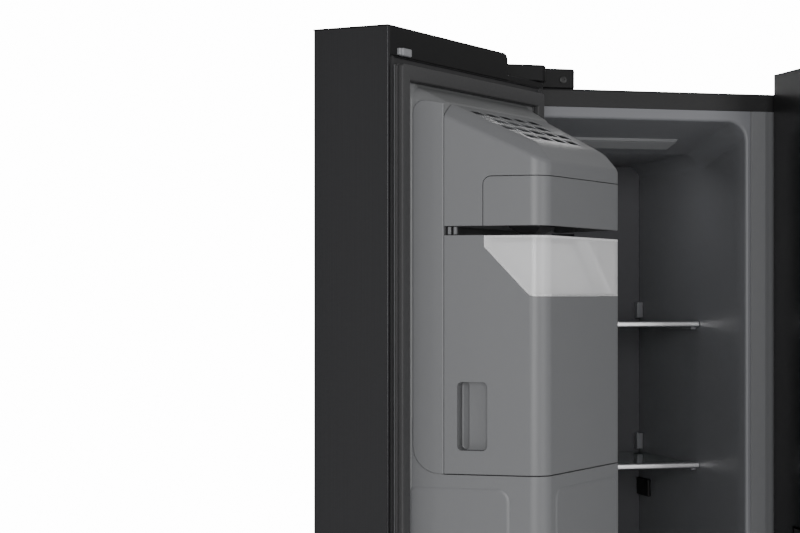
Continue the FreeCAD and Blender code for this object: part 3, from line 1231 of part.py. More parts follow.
cover_space = common(
    "cover_space", module_plan("cover_space_plan", "module_wall", f"{SEAM} - 1", "cover_bottom - 1",
                               "cover_crest + 1"), cover_inside,
)
vents = [
    box(f"vent_{row}_{k}",
        across("freezer", f"module_side + 20 + {k}*vent_pitch + {row % 2}*vent_pitch/6",
               f"module_side + 20 + {k}*vent_pitch + {row % 2}*vent_pitch/6 + vent_length"),
        deep(f"dike_depth + 10 + {row}*vent_row", f"dike_depth + 10 + {row}*vent_row + vent_width"),
        ("cover_front - 20", "cover_crest + 5"))
    for row in range(4)
    for k in range(5)
]
flap_room = box("flap_room", (LEFT, FREEZER_EDGE), deep("flap_start", "module_depth + 5"),
                ("cover_bottom - 1", "cover_bottom + flap_height"))
flap_gap = box("flap_gap", (LEFT, FREEZER_EDGE), deep("flap_start - part_gap", "module_depth + 5"),
               ("cover_bottom - 1", "cover_bottom + flap_height + part_gap"))
hood = cut("hood", cover_solid, [cover_space])
door_node(cut("hood_cut", hood, vents + [flap_gap]), "ice_maker_cover", "freezer")
door_node(common("flap", hood, flap_room), "ice_cover_flap", "freezer")

# Ice maker: a frame on the door holds the drive and the tray's far bearing.
TRAY_Z = "(cover_bottom + tray_axis_height)"
TRAY_Y = f"({INNER} + tray_axis_depth)"
TRAY_X = across("freezer", "tray_start", "tray_start + tray_length")
tray_block = box("tray_block", TRAY_X, (f"{TRAY_Y} - tray_width/2", f"{TRAY_Y} + tray_width/2"),
                 (f"{TRAY_Z} - tray_height/2", f"{TRAY_Z} + tray_height/2"))
cups = [
    box(f"cup_{row}_{k}", (f"{TRAY_X[0]} + 6 + {k}*cup_pitch", f"{TRAY_X[0]} + 2 + ({k} + 1)*cup_pitch"),
        (f"{TRAY_Y} - 29 + {row}*30", f"{TRAY_Y} - 1 + {row}*30"), (f"{TRAY_Z} - 10", f"{TRAY_Z} + 14"))
    for row in range(2)
    for k in range(5)
]
near_pin = rod("tray_near_pin", "x", "tray_pin", (f"{TRAY_X[1]} - 1", TRAY_Y, TRAY_Z), "9")
far_pin = rod("tray_far_pin", "x", "tray_pin", (f"{TRAY_X[0]} - 8", TRAY_Y, TRAY_Z), "9")
door_node(fuse("tray_whole", [cut("tray_cups", tray_block, cups), near_pin, far_pin]), "ice_tray", "freezer")
frame_plate = box("maker_plate", across("freezer", "tray_start - 12", "tray_start + tray_length + 22"),
                  deep(SEAM, f"{SEAM} + module_wall"), ("cover_bottom + 4", "cover_bottom + 110"))
near_arm = box("maker_near_arm", across("freezer", "tray_start - 9", "tray_start - 3"),
               deep(SEAM, "tray_axis_depth + 12"),
               (f"{TRAY_Z} - 12", f"{TRAY_Z} + 12"))
near_bore = rod("maker_near_bore", "x", "tray_pin + pin_clearance", (f"{TRAY_X[1]} + 0.5", TRAY_Y, TRAY_Z), "9")
maker_frame = cut("maker_frame", fuse("maker_frame_blank", [frame_plate, near_arm]), [near_bore])
drive_case = box("drive_case",
                 across("freezer", "tray_start + tray_length + 3", "tray_start + tray_length + 22"),
                 deep(f"{SEAM} + module_wall", "tray_axis_depth + 14"), (f"{TRAY_Z} - 26", f"{TRAY_Z} + 26"))
drive_socket = rod("drive_socket", "x", "tray_pin + pin_clearance", (f"{TRAY_X[0]} - 8.5", TRAY_Y, TRAY_Z), "9")
drive = cut("drive", drive_case, [drive_socket])
door_node(group("maker", [maker_frame, drive]), "ice_maker_frame", "freezer")

# Dispenser in the freezer door's front.
dispenser_outer = box("dispenser_outer", *DISPENSER)
bezel = box("dispenser_bezel", across("freezer", "dispenser_start", "dispenser_start + dispenser_width"),
            (f"{FRONT} - 2", FRONT), ("dispenser_bottom", "dispenser_bottom + dispenser_height"))
recess_space = box("recess_space",
                   across("freezer", "dispenser_start + dispenser_frame",
                          "dispenser_start + dispenser_width - dispenser_frame"),
                   (f"{FRONT} - 3", f"{FRONT} + recess_depth - 3"),
                   ("dispenser_bottom + dispenser_frame", RECESS_TOP))
MIDDLE = "(dispenser_start + dispenser_width/2)"
ears = [
    box(f"lever_ear_{k}", across("freezer", f"{MIDDLE} - lever_width/2 - 7 + {k}*(lever_width + 8)",
                                 f"{MIDDLE} - lever_width/2 - 1 + {k}*(lever_width + 8)"),
        (f"{FRONT} + recess_depth - 38", f"{FRONT} + recess_depth - 2"),
        (f"{RECESS_TOP} - 40", f"{RECESS_TOP} + 1"))
    for k in range(2)
]
LEVER_Y = f"({FRONT} + recess_depth - 30)"
LEVER_Z = f"({RECESS_TOP} - 32)"
lever_bore = rod("lever_bore", "x", "lever_pin + pin_clearance",
                 (f"{FREEZER_EDGE} - {MIDDLE} - lever_width/2 - 20", LEVER_Y, LEVER_Z), "lever_width + 40")
door_node(
    cut("dispenser", fuse("dispenser_blank", [cut("dispenser_tub", fuse("dispenser_front",
                                                                        [dispenser_outer, bezel]), [recess_space]),
                                              cut("ears", fuse("ear_pair", ears), [lever_bore])]),
        [box("chute_mouth", chute_sides("0"), (f"{FRONT} + 10", f"{FRONT} + recess_depth - 12"),
             (f"{RECESS_TOP} - 1", f"{RECESS_TOP} + 60")),
         common("chute_way", chute_space,
                box("chute_way_room", chute_sides("0"), (FRONT, f"{INNER} + module_depth"),
                    (f"{RECESS_TOP} - 40", f"{RECESS_TOP} + 200")))]),
    "dispenser_panel", "freezer",
)
lever_x = across("freezer", f"{MIDDLE} - lever_width/2", f"{MIDDLE} + lever_width/2")
pad_plate = box("lever_pad", lever_x, (f"{LEVER_Y} - 9", f"{LEVER_Y} - 5"),
                (f"{LEVER_Z} - lever_height", f"{LEVER_Z} - 8"))
lever_hub = box("lever_hub", lever_x, (f"{LEVER_Y} - 9", f"{LEVER_Y} + 5"),
                (f"{LEVER_Z} - 10", f"{LEVER_Z} + 5"))
lever_pin = rod("lever_pin_rod", "x", "lever_pin", (f"{lever_x[0]} - 6", LEVER_Y, LEVER_Z), "lever_width + 12")
door_node(fuse("lever", [pad_plate, lever_hub, lever_pin]), "dispenser_lever", "freezer")
door_node(
    tray("drip", across("freezer", "dispenser_start + dispenser_frame + 0.5",
                        "dispenser_start + dispenser_width - dispenser_frame - 0.5"),
         (f"{FRONT} + 1", f"{FRONT} + recess_depth - 4"),
         ("dispenser_bottom + dispenser_frame + 0.3", "dispenser_bottom + dispenser_frame + drip_height"),
         "2", "2"),
    "drip_tray", "freezer",
)
# The freezer door is stored open: everything on it is turned about its hinge axis.
doc.recompute()
pivot = FreeCAD.Vector(
    -size("cabinet_width") / 2 + size("pivot_side"), -size("gasket_gap") - size("pivot_front"), 0
)
opened = FreeCAD.Placement(
    FreeCAD.Vector(0, 0, 0), FreeCAD.Rotation(FreeCAD.Vector(0, 0, 1), -size("open_angle")), pivot
)
for label in DOOR_NODES["freezer"]:
    piece = NODES[label]
    piece.Placement = opened.multiply(piece.Placement)
doc.recompute()

failed = [piece.Name for piece in doc.Objects if {"Invalid", "Error"} & set(piece.State)]
failed += [label for label, piece in NODES.items() if piece.Shape.isNull() or not piece.Shape.isValid()]
if failed:
    raise SystemExit("these failed: " + ", ".join(failed))
os.makedirs("parts", exist_ok=True)
for label, piece in NODES.items():
    piece.Shape.exportStep(f"parts/{label}.step")
print(len(NODES), "nodes written")
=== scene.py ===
import json
import math

import bpy
import numpy as np
from mathutils import Matrix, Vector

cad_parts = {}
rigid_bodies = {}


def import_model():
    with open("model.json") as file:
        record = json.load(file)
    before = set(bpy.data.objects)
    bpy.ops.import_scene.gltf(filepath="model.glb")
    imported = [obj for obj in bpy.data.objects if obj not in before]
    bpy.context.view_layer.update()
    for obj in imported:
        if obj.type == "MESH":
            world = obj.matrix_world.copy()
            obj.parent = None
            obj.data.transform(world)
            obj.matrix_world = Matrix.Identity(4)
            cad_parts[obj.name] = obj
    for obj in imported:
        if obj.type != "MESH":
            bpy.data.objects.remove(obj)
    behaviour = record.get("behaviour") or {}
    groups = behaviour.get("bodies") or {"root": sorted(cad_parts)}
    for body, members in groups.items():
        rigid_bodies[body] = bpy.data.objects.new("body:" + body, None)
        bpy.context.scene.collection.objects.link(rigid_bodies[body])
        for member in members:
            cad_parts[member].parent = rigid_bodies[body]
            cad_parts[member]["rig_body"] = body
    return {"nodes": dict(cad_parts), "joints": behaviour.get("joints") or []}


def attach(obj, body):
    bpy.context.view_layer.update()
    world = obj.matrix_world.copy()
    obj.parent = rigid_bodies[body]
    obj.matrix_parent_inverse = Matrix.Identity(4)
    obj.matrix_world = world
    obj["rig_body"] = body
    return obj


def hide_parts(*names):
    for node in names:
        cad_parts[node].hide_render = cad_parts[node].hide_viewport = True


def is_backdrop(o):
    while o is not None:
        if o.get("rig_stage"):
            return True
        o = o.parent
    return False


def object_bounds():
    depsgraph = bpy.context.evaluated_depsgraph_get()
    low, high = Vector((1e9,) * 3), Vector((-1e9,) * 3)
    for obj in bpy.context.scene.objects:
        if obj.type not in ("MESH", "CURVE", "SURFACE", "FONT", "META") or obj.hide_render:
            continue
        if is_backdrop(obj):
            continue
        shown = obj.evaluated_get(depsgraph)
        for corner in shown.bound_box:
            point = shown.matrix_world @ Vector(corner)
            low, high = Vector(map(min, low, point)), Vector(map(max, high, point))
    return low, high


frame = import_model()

cad_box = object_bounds()

# Viewpoint: eye height, a little left of the cabinet, looking at the open freezer door and the top of the
# cabinet through a short telephoto lens. Level, so uprights stay upright.
EYE = (-1.146, -2.378, 1.483)
HEADING = 15.02


def placed(name, data, at=(0, 0, 0), turn=(0, 0, 0)):
    """A new object in the scene, at a place and turned."""
    made = bpy.data.objects.new(name, data)
    made.location, made.rotation_euler = at, turn
    bpy.context.scene.collection.objects.link(made)
    return made


camera = placed("camera", bpy.data.cameras.new("camera"), EYE, (math.radians(90), 0, math.radians(-HEADING)))
camera.data.sensor_width = 36
camera.data.lens = 87.07
camera.data.shift_x = -0.0528
camera.data.shift_y = 0.0353
bpy.context.scene.camera = camera


# Studio: a pale room with a painted floor and a brightly lit white cyclorama behind the refrigerator. The
# room fills the shadows evenly, and the soft boxes give the long highlights on steel and moulded plastic.
def linear(colour, alpha=1.0):
    """The linear colour of an sRGB hex value: each channel c is c/12.92 below 0.04045, and
    ((c + 0.055)/1.055) to the power 2.4 above it."""
    srgb = np.array([int(colour[k:k + 2], 16) for k in (1, 3, 5)]) / 255
    light = np.where(srgb <= 0.04045, srgb / 12.92, ((srgb + 0.055) / 1.055) ** 2.4)
    return (*light.tolist(), alpha)


def add(tree, kind, inputs=None, **settings):
    """Adds a shader node with its settings. An input is a value for its socket, or what to link to it: an
    output, or a node for its first output."""
    made = tree.nodes.new("ShaderNode" + kind)
    for key, value in settings.items():
        setattr(made, key, value)
    for key, value in (inputs or {}).items():
        if isinstance(value, bpy.types.Node):
            value = value.outputs[0]
        if isinstance(value, bpy.types.NodeSocket):
            tree.links.new(value, made.inputs[key])
        else:
            made.inputs[key].default_value = value
    return made


FACTOR, FIRST, SECOND, MIXED = 0, 6, 7, 2


def between(tree, share, first, second):
    """A colour that goes from the first sRGB hex value to the second as the share goes from nought to one."""
    ends = {FACTOR: share, FIRST: linear(first), SECOND: linear(second)}
    return add(tree, "Mix", ends, data_type="RGBA").outputs[MIXED]


def made_of(name, recipe, *values, **more):
    """A material with one principled shader. Its recipe takes the tree, the place on the piece in the piece's
    own coordinates and the values, and gives the shader's inputs."""
    material = bpy.data.materials.new(name)
    material.use_nodes = True
    tree = material.node_tree
    tree.nodes.clear()
    place = add(tree, "TexCoord").outputs["Object"]
    shader = add(tree, "BsdfPrincipled", recipe(tree, place, *values, **more))
    add(tree, "OutputMaterial", {"Surface": shader})
    return material


def painted_screed(tree, place, mottle_mm):
    """Pale painted screed: even and matt, with a faint mottle a hand wide."""
    mottle = add(tree, "TexNoise", {"Vector": place, "Scale": 1000 / mottle_mm, "Detail": 3.0})
    return {"Base Color": between(tree, mottle, "#f1f1f1", "#ececec"), "Roughness": 0.7}


FLOOR_HALF = 6.0
screed = bpy.data.meshes.new("studio_floor")
screed.from_pydata([(x * FLOOR_HALF, y * FLOOR_HALF, 0) for x, y in ((-1, -1), (1, -1), (1, 1), (-1, 1))],
                   [], [(0, 1, 2, 3)])
screed.materials.append(made_of("painted_screed_floor", painted_screed, 111))
placed("studio_floor", screed)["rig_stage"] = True

world = bpy.data.worlds.new("white_room")
world.use_nodes = True
world.node_tree.nodes.clear()
ROOM_LIGHT, CYCLORAMA_LIGHT = 0.38, 15.0
CYCLORAMA_FADE = 0.91, 0.955  # cosines of the angle from its middle at which it ends and is full
CYCLORAMA_FACES = (math.sin(math.radians(HEADING)), math.cos(math.radians(HEADING)), 0)
direction = add(world.node_tree, "TexCoord").outputs["Generated"]
towards = add(world.node_tree, "VectorMath", {0: direction, 1: CYCLORAMA_FACES}, operation="DOT_PRODUCT")
brightness = add(world.node_tree, "MapRange", {
    "Value": towards.outputs["Value"], "From Min": CYCLORAMA_FADE[0], "From Max": CYCLORAMA_FADE[1],
    "To Min": ROOM_LIGHT, "To Max": CYCLORAMA_LIGHT}, interpolation_type="SMOOTHSTEP")
room = add(world.node_tree, "Background", {"Color": linear("#ffffff"), "Strength": brightness})
add(world.node_tree, "OutputWorld", {"Surface": room})
bpy.context.scene.world = world

SOFT_BOXES = [
    # name, place, point that it faces, width and height, watts
    ("key_box", (-1.45, -3.6, 1.75), (-0.2, 0.3, 1.35), (1.4, 1.4), 54),
    ("fill_box", (2.0, -3.6, 1.7), (-0.3, 0.2, 1.3), (1.6, 2.0), 30),
    ("left_strip", (-3.4, -1.2, 1.2), (-0.7, -0.2, 1.0), (0.5, 2.4), 6),
]


def soft_box(name, at, turn, extent, watts):
    """A rectangular area light."""
    light = bpy.data.lights.new(name, "AREA")
    light.shape = "RECTANGLE"
    light.size, light.size_y = extent
    light.energy = watts
    placed(name, light, at, turn)


for name, at, target, extent, watts in SOFT_BOXES:
    x, y, z = np.subtract(target, at)
    turn = (math.acos(-z / math.hypot(x, y, z)), 0, math.atan2(y, x) - math.pi / 2)
    soft_box(name, at, turn, extent, watts)


# Cabinet wrap: one sheet of steel, folded over the sides, top and bottom with a return round the front, and
# powder coated dark grey with a fine leather grain. The liners clip behind the return.
HINGE = next(joint for joint in frame["joints"] if joint["name"] == "freezer_door_hinge")
SHUT_BY = math.radians(HINGE["axis"][2] * max(HINGE["range_deg"], key=abs))
TO_PIVOT = Matrix.Translation(HINGE["pos_m"])
OPENED = TO_PIVOT @ Matrix.Rotation(-SHUT_BY, 4, "Z") @ TO_PIVOT.inverted()
ON_FREEZER_DOOR = {"freezer_door", "ice_bucket", "ice_auger", "cover_flap", "ice_tray", "dispenser_lever",
                   "drip_tray"}


def corners_of(node):
    """Lowest and highest corner of a CAD node in millimetres, with the freezer door turned shut."""
    piece = frame["nodes"][node]
    points = np.empty(len(piece.data.vertices) * 3)
    piece.data.vertices.foreach_get("co", points)
    points = points.reshape(-1, 3)
    if piece["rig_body"] in ON_FREEZER_DOOR:
        back = np.array(OPENED.inverted())
        points = points @ back[:3, :3].T + back[:3, 3]
    return points.min(0) * 1000, points.max(0) * 1000


def outline(corners, radii, inset=0.0, steps=5):
    """A closed outline, all its corners at once. Each side moves in by the inset, and an arc tangent to two
    moved sides joins them. An outer corner's radius shrinks by the inset, an inner corner's grows."""
    corners = np.asarray(corners, float)
    after = np.roll(corners, -1, 0)
    way = np.sign((corners[:, 0] * after[:, 1] - corners[:, 1] * after[:, 0]).sum())
    ahead = (after - corners) / np.linalg.norm(after - corners, axis=1)[:, None]
    behind = np.roll(ahead, 1, 0)
    inward = way * np.column_stack([-behind[:, 1], behind[:, 0]])
    onward = np.roll(inward, -1, 0)
    moved = corners + inset * (inward + onward) / (1 + (inward * onward).sum(1))[:, None]
    turn = np.arctan2(behind[:, 0] * ahead[:, 1] - behind[:, 1] * ahead[:, 0], (behind * ahead).sum(1))
    outer = np.sign(turn) * way
    radius = np.maximum(np.broadcast_to(radii, len(corners)) - inset * outer, 0.3)
    start = moved - behind * (radius * np.tan(abs(turn) / 2))[:, None]
    spoke = -inward * outer[:, None]
    angle = turn[:, None] * np.linspace(0, 1, steps + 1)
    swung = np.stack([spoke[:, :1] * np.cos(angle) - spoke[:, 1:] * np.sin(angle),
                      spoke[:, :1] * np.sin(angle) + spoke[:, 1:] * np.cos(angle)], -1)
    return ((start - spoke * radius[:, None])[:, None] + swung * radius[:, None, None]).reshape(-1, 2)


def oblong(left, low, right, high):
    """The corners of a rectangle from its sides' places."""
    return [(left, low), (right, low), (right, high), (left, high)]


def stacked(corners, radii, path, steps=5):
    """Rings of an outline, moved in and raised by each pair of inset and height on a path."""
    rings = [outline(corners, radii, inset, steps) for inset, height in path]
    return np.stack([np.column_stack([ring, np.full(len(ring), height)])
                     for ring, (inset, height) in zip(rings, path)])


def rectangles(rows, steps=5):
    """Rings of upright rounded rectangles, one for each row of depth, left, right, bottom, top and radius."""
    rings = []
    for depth, left, right, bottom, top, radius in rows:
        ring = outline(oblong(left, bottom, right, top), radius, 0, steps)
        rings.append(np.column_stack([ring[:, 0], np.full(len(ring), depth), ring[:, 1]]))
    return np.stack(rings)


def across(section, places):
    """Rings from a section in depth and height, set at each place across."""
    return np.stack([np.column_stack([np.full(len(section), place), section]) for place in places])


def upright(rings):
    """Rings drawn lying down, stood up: depth and height change places."""
    return rings[..., [0, 2, 1]]


def surface(rings, loop=False):
    """Points and faces through a stack of rings: a quad joins two neighbours on one ring to those on the
    next. A flat face closes each end, unless the last ring joins the first."""
    count, around = rings.shape[:2]
    index = np.arange(count * around).reshape(count, around)
    ends = [] if loop else [index[0], index[-1][::-1]]
    index = np.vstack([index, index[:1]]) if loop else index
    low, high = index[:-1], index[1:]
    quads = np.stack([low, high, np.roll(high, -1, 1), np.roll(low, -1, 1)], -1).reshape(-1, 4)
    return rings.reshape(-1, 3), quads, ends


def edged(low, high, radius, steps=4):
    """Pairs of inset and height up a block's side, round an edge at its foot and its top: the radius times
    one minus the sine, and one minus the cosine, of an angle from nought to a right angle."""
    turn = np.linspace(0, math.pi / 2, steps + 1)
    foot = np.column_stack([radius * (1 - np.sin(turn)), low + radius * (1 - np.cos(turn))])
    return np.vstack([foot, foot[::-1] * [1, -1] + [0, low + high]])


def block(low, high, radius=0.6, edge=0.5):
    """A block between two corners: a rectangle with rounded corners carried up an edged side."""
    plan = oblong(*low[:2], *high[:2])
    return surface(stacked(plan, radius, edged(low[2], high[2], edge)))


def shape(name, *surfaces):
    """An object from closed surfaces in millimetres. The volume inside each, a sixth of the sum of its
    triangles' triple products, shows by its sign whether its faces have to be turned outwards."""
    points, faces, count = [], [], 0
    for xyz, quads, ends in surfaces:
        fans = [np.column_stack([np.full(len(end) - 2, end[0]), end[1:-1], end[2:]]) for end in ends]
        triangles = np.vstack([quads[:, :3], quads[:, [0, 2, 3]], *fans])
        a, b, c = (xyz[triangles[:, k]] for k in range(3))
        way = 1 if (a * np.cross(b, c)).sum() > 0 else -1
        faces += (quads[:, ::way] + count).tolist() + [(end[::way] + count).tolist() for end in ends]
        points.append(xyz / 1000)
        count += len(xyz)
    mesh = bpy.data.meshes.new(name)
    mesh.from_pydata(np.vstack(points), [], faces)
    return placed(name, mesh)


def carved(piece, *surfaces, keep="DIFFERENCE"):
    """A piece less what the surfaces enclose, or with them added, or only what it shares with them."""
    cutter = shape("cutter", *surfaces)
    modifier = piece.modifiers.new("cut", "BOOLEAN")
    modifier.object = cutter
    modifier.operation = keep
    modifier.solver = "EXACT"
    graph = bpy.context.evaluated_depsgraph_get()
    left = bpy.data.meshes.new_from_object(piece.evaluated_get(graph))
    piece.modifiers.clear()
    piece.data = left
    bpy.data.objects.remove(cutter)
    return piece


def fit(piece, body, material, slot, *nodes, sharp=30):
    """Finishes a piece drawn with the doors shut and hangs it on its body, in place of CAD nodes."""
    if body in ON_FREEZER_DOOR:
        piece.data.transform(OPENED)
    piece.data.materials.clear()
    piece.data.materials.append(material)
    piece.data.shade_smooth()
    piece.data.set_sharp_from_angle(angle=math.radians(sharp))
    even = piece.modifiers.new("even_faces", "WEIGHTED_NORMAL")
    even.keep_sharp = True
    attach(piece, body)
    if nodes:
        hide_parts(*nodes)
    return piece


def coated_steel(tree, place, colour, grain_mm, bump, drift_mm=333):
    """Coated sheet steel: a soft half gloss broken by the coat's own cells, and a slow drift of tone where
    the coat lies thicker."""
    drift = add(tree, "TexNoise", {"Vector": place, "Scale": 1000 / drift_mm, "Detail": 2.0})
    grain = add(tree, "TexVoronoi", {"Vector": place, "Scale": 1000 / grain_mm})
    tone = between(tree, drift, *colour)
    relief = add(tree, "Bump", {"Height": grain, "Strength": bump, "Distance": 0.0003})
    return {"Base Color": tone, "Roughness": 0.48, "Normal": relief, "Specular IOR Level": 0.4}


# Matt and nearly black, with long soft highlights. The coat's leathery grain, about 1 mm, is drawn half as
# coarse again so that it shows.
CABINET_COAT = made_of("powder_coated_cabinet_steel", coated_steel, ("#1a1a1b", "#1f1f20"), 1.6, 0.25)
SHEET, FOLD = 1.0, 3.0
MACHINE_ROOM = 400.0  # where the opening for the machinery starts, from the cabinet's front
cabinet_low, cabinet_high = corners_of("cabinet_shell")
BAND = corners_of("freezer_liner")[0][0] - cabinet_low[0]
face = oblong(cabinet_low[0], cabinet_low[2], cabinet_high[0], cabinet_high[2])
round_front = edged(0, 2 * FOLD, FOLD)[:5][::-1]
section = [(0, cabinet_high[1]), *round_front, (BAND - 0.6, 0), (BAND, 0.4), (BAND, SHEET),
           (SHEET + FOLD, SHEET), (SHEET, SHEET + FOLD), (SHEET, cabinet_high[1])]
wrap = shape("cabinet_wrap", surface(upright(stacked(face, FOLD, section)), loop=True))
carved(wrap, block((cabinet_low[0] + SHEET, MACHINE_ROOM, cabinet_low[2] - 5),
                   (cabinet_high[0] - SHEET, cabinet_high[1] + 5, corners_of("machine_cover")[1][2])))
fit(wrap, "cabinet", CABINET_COAT, "dark_steel", "cabinet_shell", sharp=40)


# Compartments: two deep boxes, vacuum formed from high impact polystyrene sheet. The mouth's lip rolls over
# onto a flat edge behind the steel band, the walls flare at the front, and the ceiling slopes to the lamp.
def moulded(tree, place, colour, roughness, grain_mm, bump, drift_mm=300.0, ior=1.55):
    """Moulded plastic: one colour through, a satin sheen, an etched grain that softens the highlight, and a
    slight drift of tone from the cooling of the sheet. The grain is drawn coarser than life, to show."""
    drift = add(tree, "TexNoise", {"Vector": place, "Scale": 1000 / drift_mm, "Detail": 2.0})
    grain = add(tree, "TexNoise", {"Vector": place, "Scale": 1000 / grain_mm, "Detail": 4.0,
                                   "Roughness": 0.6})
    tone = between(tree, drift, *colour)
    sheen = add(tree, "MapRange", {"Value": grain, "To Min": roughness - 0.05, "To Max": roughness + 0.07})
    relief = add(tree, "Bump", {"Height": grain, "Strength": bump, "Distance": 0.0002})
    return {"Base Color": tone, "Roughness": sheen, "Normal": relief, "IOR": ior}


# Mid grey and satin, so the walls carry the light inwards softly.
LINER_STYRENE = made_of("vacuum_formed_styrene", moulded, ("#727377", "#78797d"), 0.42, 1.2, 0.12)
FLANGE, MULLION_FLANGE = 15.0, 8.0
WALL, LIP = 2.0, 4.0
FLARE, FLARE_DEPTH = 3.0, 25.0
SLOPE_DROP, SLOPE_DEPTH = 33.0, 150.0
MOUTH_ROUND, FOOT_ROUND = 24.0, 8.0
STEP_FRONT, STEP_TOP = 355.0, 355.0


def compartment(name, flange_left, flange_right):
    """A liner: the mouth's rounded rectangle goes back, moves in by the flare and down by the slope, steps
    up over the machinery and closes. The same rows, a wall further out, come forward behind it."""
    low, high = corners_of(name)
    left, right = low[0] + flange_left, high[0] - flange_right
    bottom, top = low[2] + FLANGE, high[2] - FLANGE
    back = high[1] - WALL
    lip = np.linspace(0, math.pi / 2, 5)
    rows = [(LIP * (1 - math.cos(a)), -LIP * (1 - math.sin(a)), 0.0, 0.0) for a in lip]
    rows += [(FLARE_DEPTH, FLARE, 0.0, SLOPE_DROP * FLARE_DEPTH / SLOPE_DEPTH),
             (SLOPE_DEPTH - 6, FLARE, 0.0, SLOPE_DROP - 1.0), (SLOPE_DEPTH + 6, FLARE, 0.0, SLOPE_DROP),
             (STEP_FRONT - 8, FLARE, 0.0, SLOPE_DROP), (STEP_FRONT - 0.5, FLARE, 6.0, SLOPE_DROP),
             (STEP_FRONT, FLARE, STEP_TOP - bottom - 6, SLOPE_DROP),
             (STEP_FRONT + 8, FLARE, STEP_TOP - bottom, SLOPE_DROP),
             (back - 12, FLARE, STEP_TOP - bottom, SLOPE_DROP),
             (back - 3, FLARE + 3, STEP_TOP - bottom + 3, SLOPE_DROP + 3),
             (back, FLARE + 12, STEP_TOP - bottom + 12, SLOPE_DROP + 12)]
    radii = [FOOT_ROUND, FOOT_ROUND, MOUTH_ROUND, MOUTH_ROUND]
    inside = rectangles([
        (depth, left + side, right - side, bottom + rise + min(side, 0), top - drop - min(side, 0), radii)
        for depth, side, rise, drop in rows])
    outside = rectangles([
        (depth + WALL, left + side - WALL, right - side + WALL, bottom + rise - WALL, top - drop + WALL,
         radii)
        for depth, side, rise, drop in rows[:4:-1]])
    edge = [(WALL, low[0], high[0], low[2], high[2], 1.0), (0.4, low[0], high[0], low[2], high[2], 1.0),
            (0.0, low[0] + 0.4, high[0] - 0.4, low[2] + 0.4, high[2] - 0.4, 1.0)]
    behind = [(WALL, left - LIP, right + LIP, bottom - LIP, top + LIP, radii)]
    return surface(np.concatenate([outside, rectangles(behind), rectangles(edge), inside]))


for name, left_edge, right_edge in (("freezer_liner", FLANGE, MULLION_FLANGE),
                                    ("fridge_liner", MULLION_FLANGE, FLANGE)):
    liner = shape(name.replace("liner", "compartment"), compartment(name, left_edge, right_edge))
    fit(liner, "cabinet", LINER_STYRENE, "liner_grey", name, sharp=50)


# Mullion cover: an extruded strip that clips between the two liners and hides the heated bar. Its face is
# flat beside the freezer and falls back beside the fridge.

# A shade darker and smoother than the liners, from the die.
MULLION_STYRENE = made_of("extruded_styrene_strip", moulded, ("#6a6b6d", "#6e6f71"), 0.38, 2.0, 0.05)
low, high = corners_of("mullion_cover")
strip_plan = [(low[0], 0.2), (low[0] + 20, -0.6), (low[0] + 26, 0.4), (high[0], 1.0), (high[0], high[1]),
              (low[0], high[1])]
strip_rounds = [0.6, 4, 4, 0.6, 0.4, 0.4]
strip = shape("mullion_strip", surface(stacked(strip_plan, strip_rounds, [(0, low[2]), (0, high[2])])))
fit(strip, "cabinet", MULLION_STYRENE, "light_trim", "mullion_cover", sharp=40)


# Door skins: black stainless steel, a clear smoked lacquer over vertical brushing. One sheet wraps the front
# and both edges and ends in a narrow hem at the door's inner face.
def brushed_steel(tree, place, colour, roughness, line_mm):
    """Brushed steel under smoked lacquer: noise stretched 250 times along the brushing gives fine streaks in
    the gloss and tone, which draw the highlights out across them."""
    drawn = add(tree, "Mapping", {"Vector": place, "Scale": (1.0, 1.0, 0.004)})
    lines = add(tree, "TexNoise", {"Vector": drawn, "Scale": 1000 / line_mm, "Detail": 3.0, "Roughness": 0.7})
    tone = between(tree, lines, *colour)
    sheen = add(tree, "MapRange", {"Value": lines, "To Min": roughness - 0.06, "To Max": roughness + 0.08})
    relief = add(tree, "Bump", {"Height": lines, "Strength": 0.12, "Distance": 0.00005})
    return {"Base Color": tone, "Metallic": 0.9, "Roughness": sheen, "Normal": relief, "Coat Weight": 0.25,
            "Coat Roughness": 0.25}


# Nearly black, with broad soft reflections. The brush lines are drawn 0.8 mm apart, coarser than life.
BLACK_STEEL = made_of("smoked_brushed_steel", brushed_steel, ("#252527", "#2e2e30"), 0.34, 0.8)
HEM, FRONT_ROUND, RIM = 4.5, 3.0, 3.0
NOTCH, NOTCH_FLOOR = 100.0, 7.0
CAP_HEIGHT = 33.0
GRIP_WIDE, GRIP_DEEP = 24.0, 34.0  # of the cut for the grip, from the free edge and from the front
CLEAR = 5  # how far a cut reaches past what it cuts
DOORS = {}
for cold in ("freezer", "fridge"):
    low, high = corners_of(cold + "_door_skin")
    way = -1 if cold == "freezer" else 1
    DOORS[cold] = (high[0] if way < 0 else low[0], way, high[1], high[0] - low[0], high[1] - low[1])


def on_door(cold, rings):
    """Places from distances: across from the door's free edge, in from its inner face, and up."""
    edge, way, face, width, thick = DOORS[cold]
    return rings * [way, 1, 1] + [edge, face, 0]


def door_block(cold, low, high, radius=0.6, edge=0.5):
    """A block between two corners given as distances on a door."""
    points, quads, ends = block(low, high, radius, edge)
    return on_door(cold, points), quads, ends


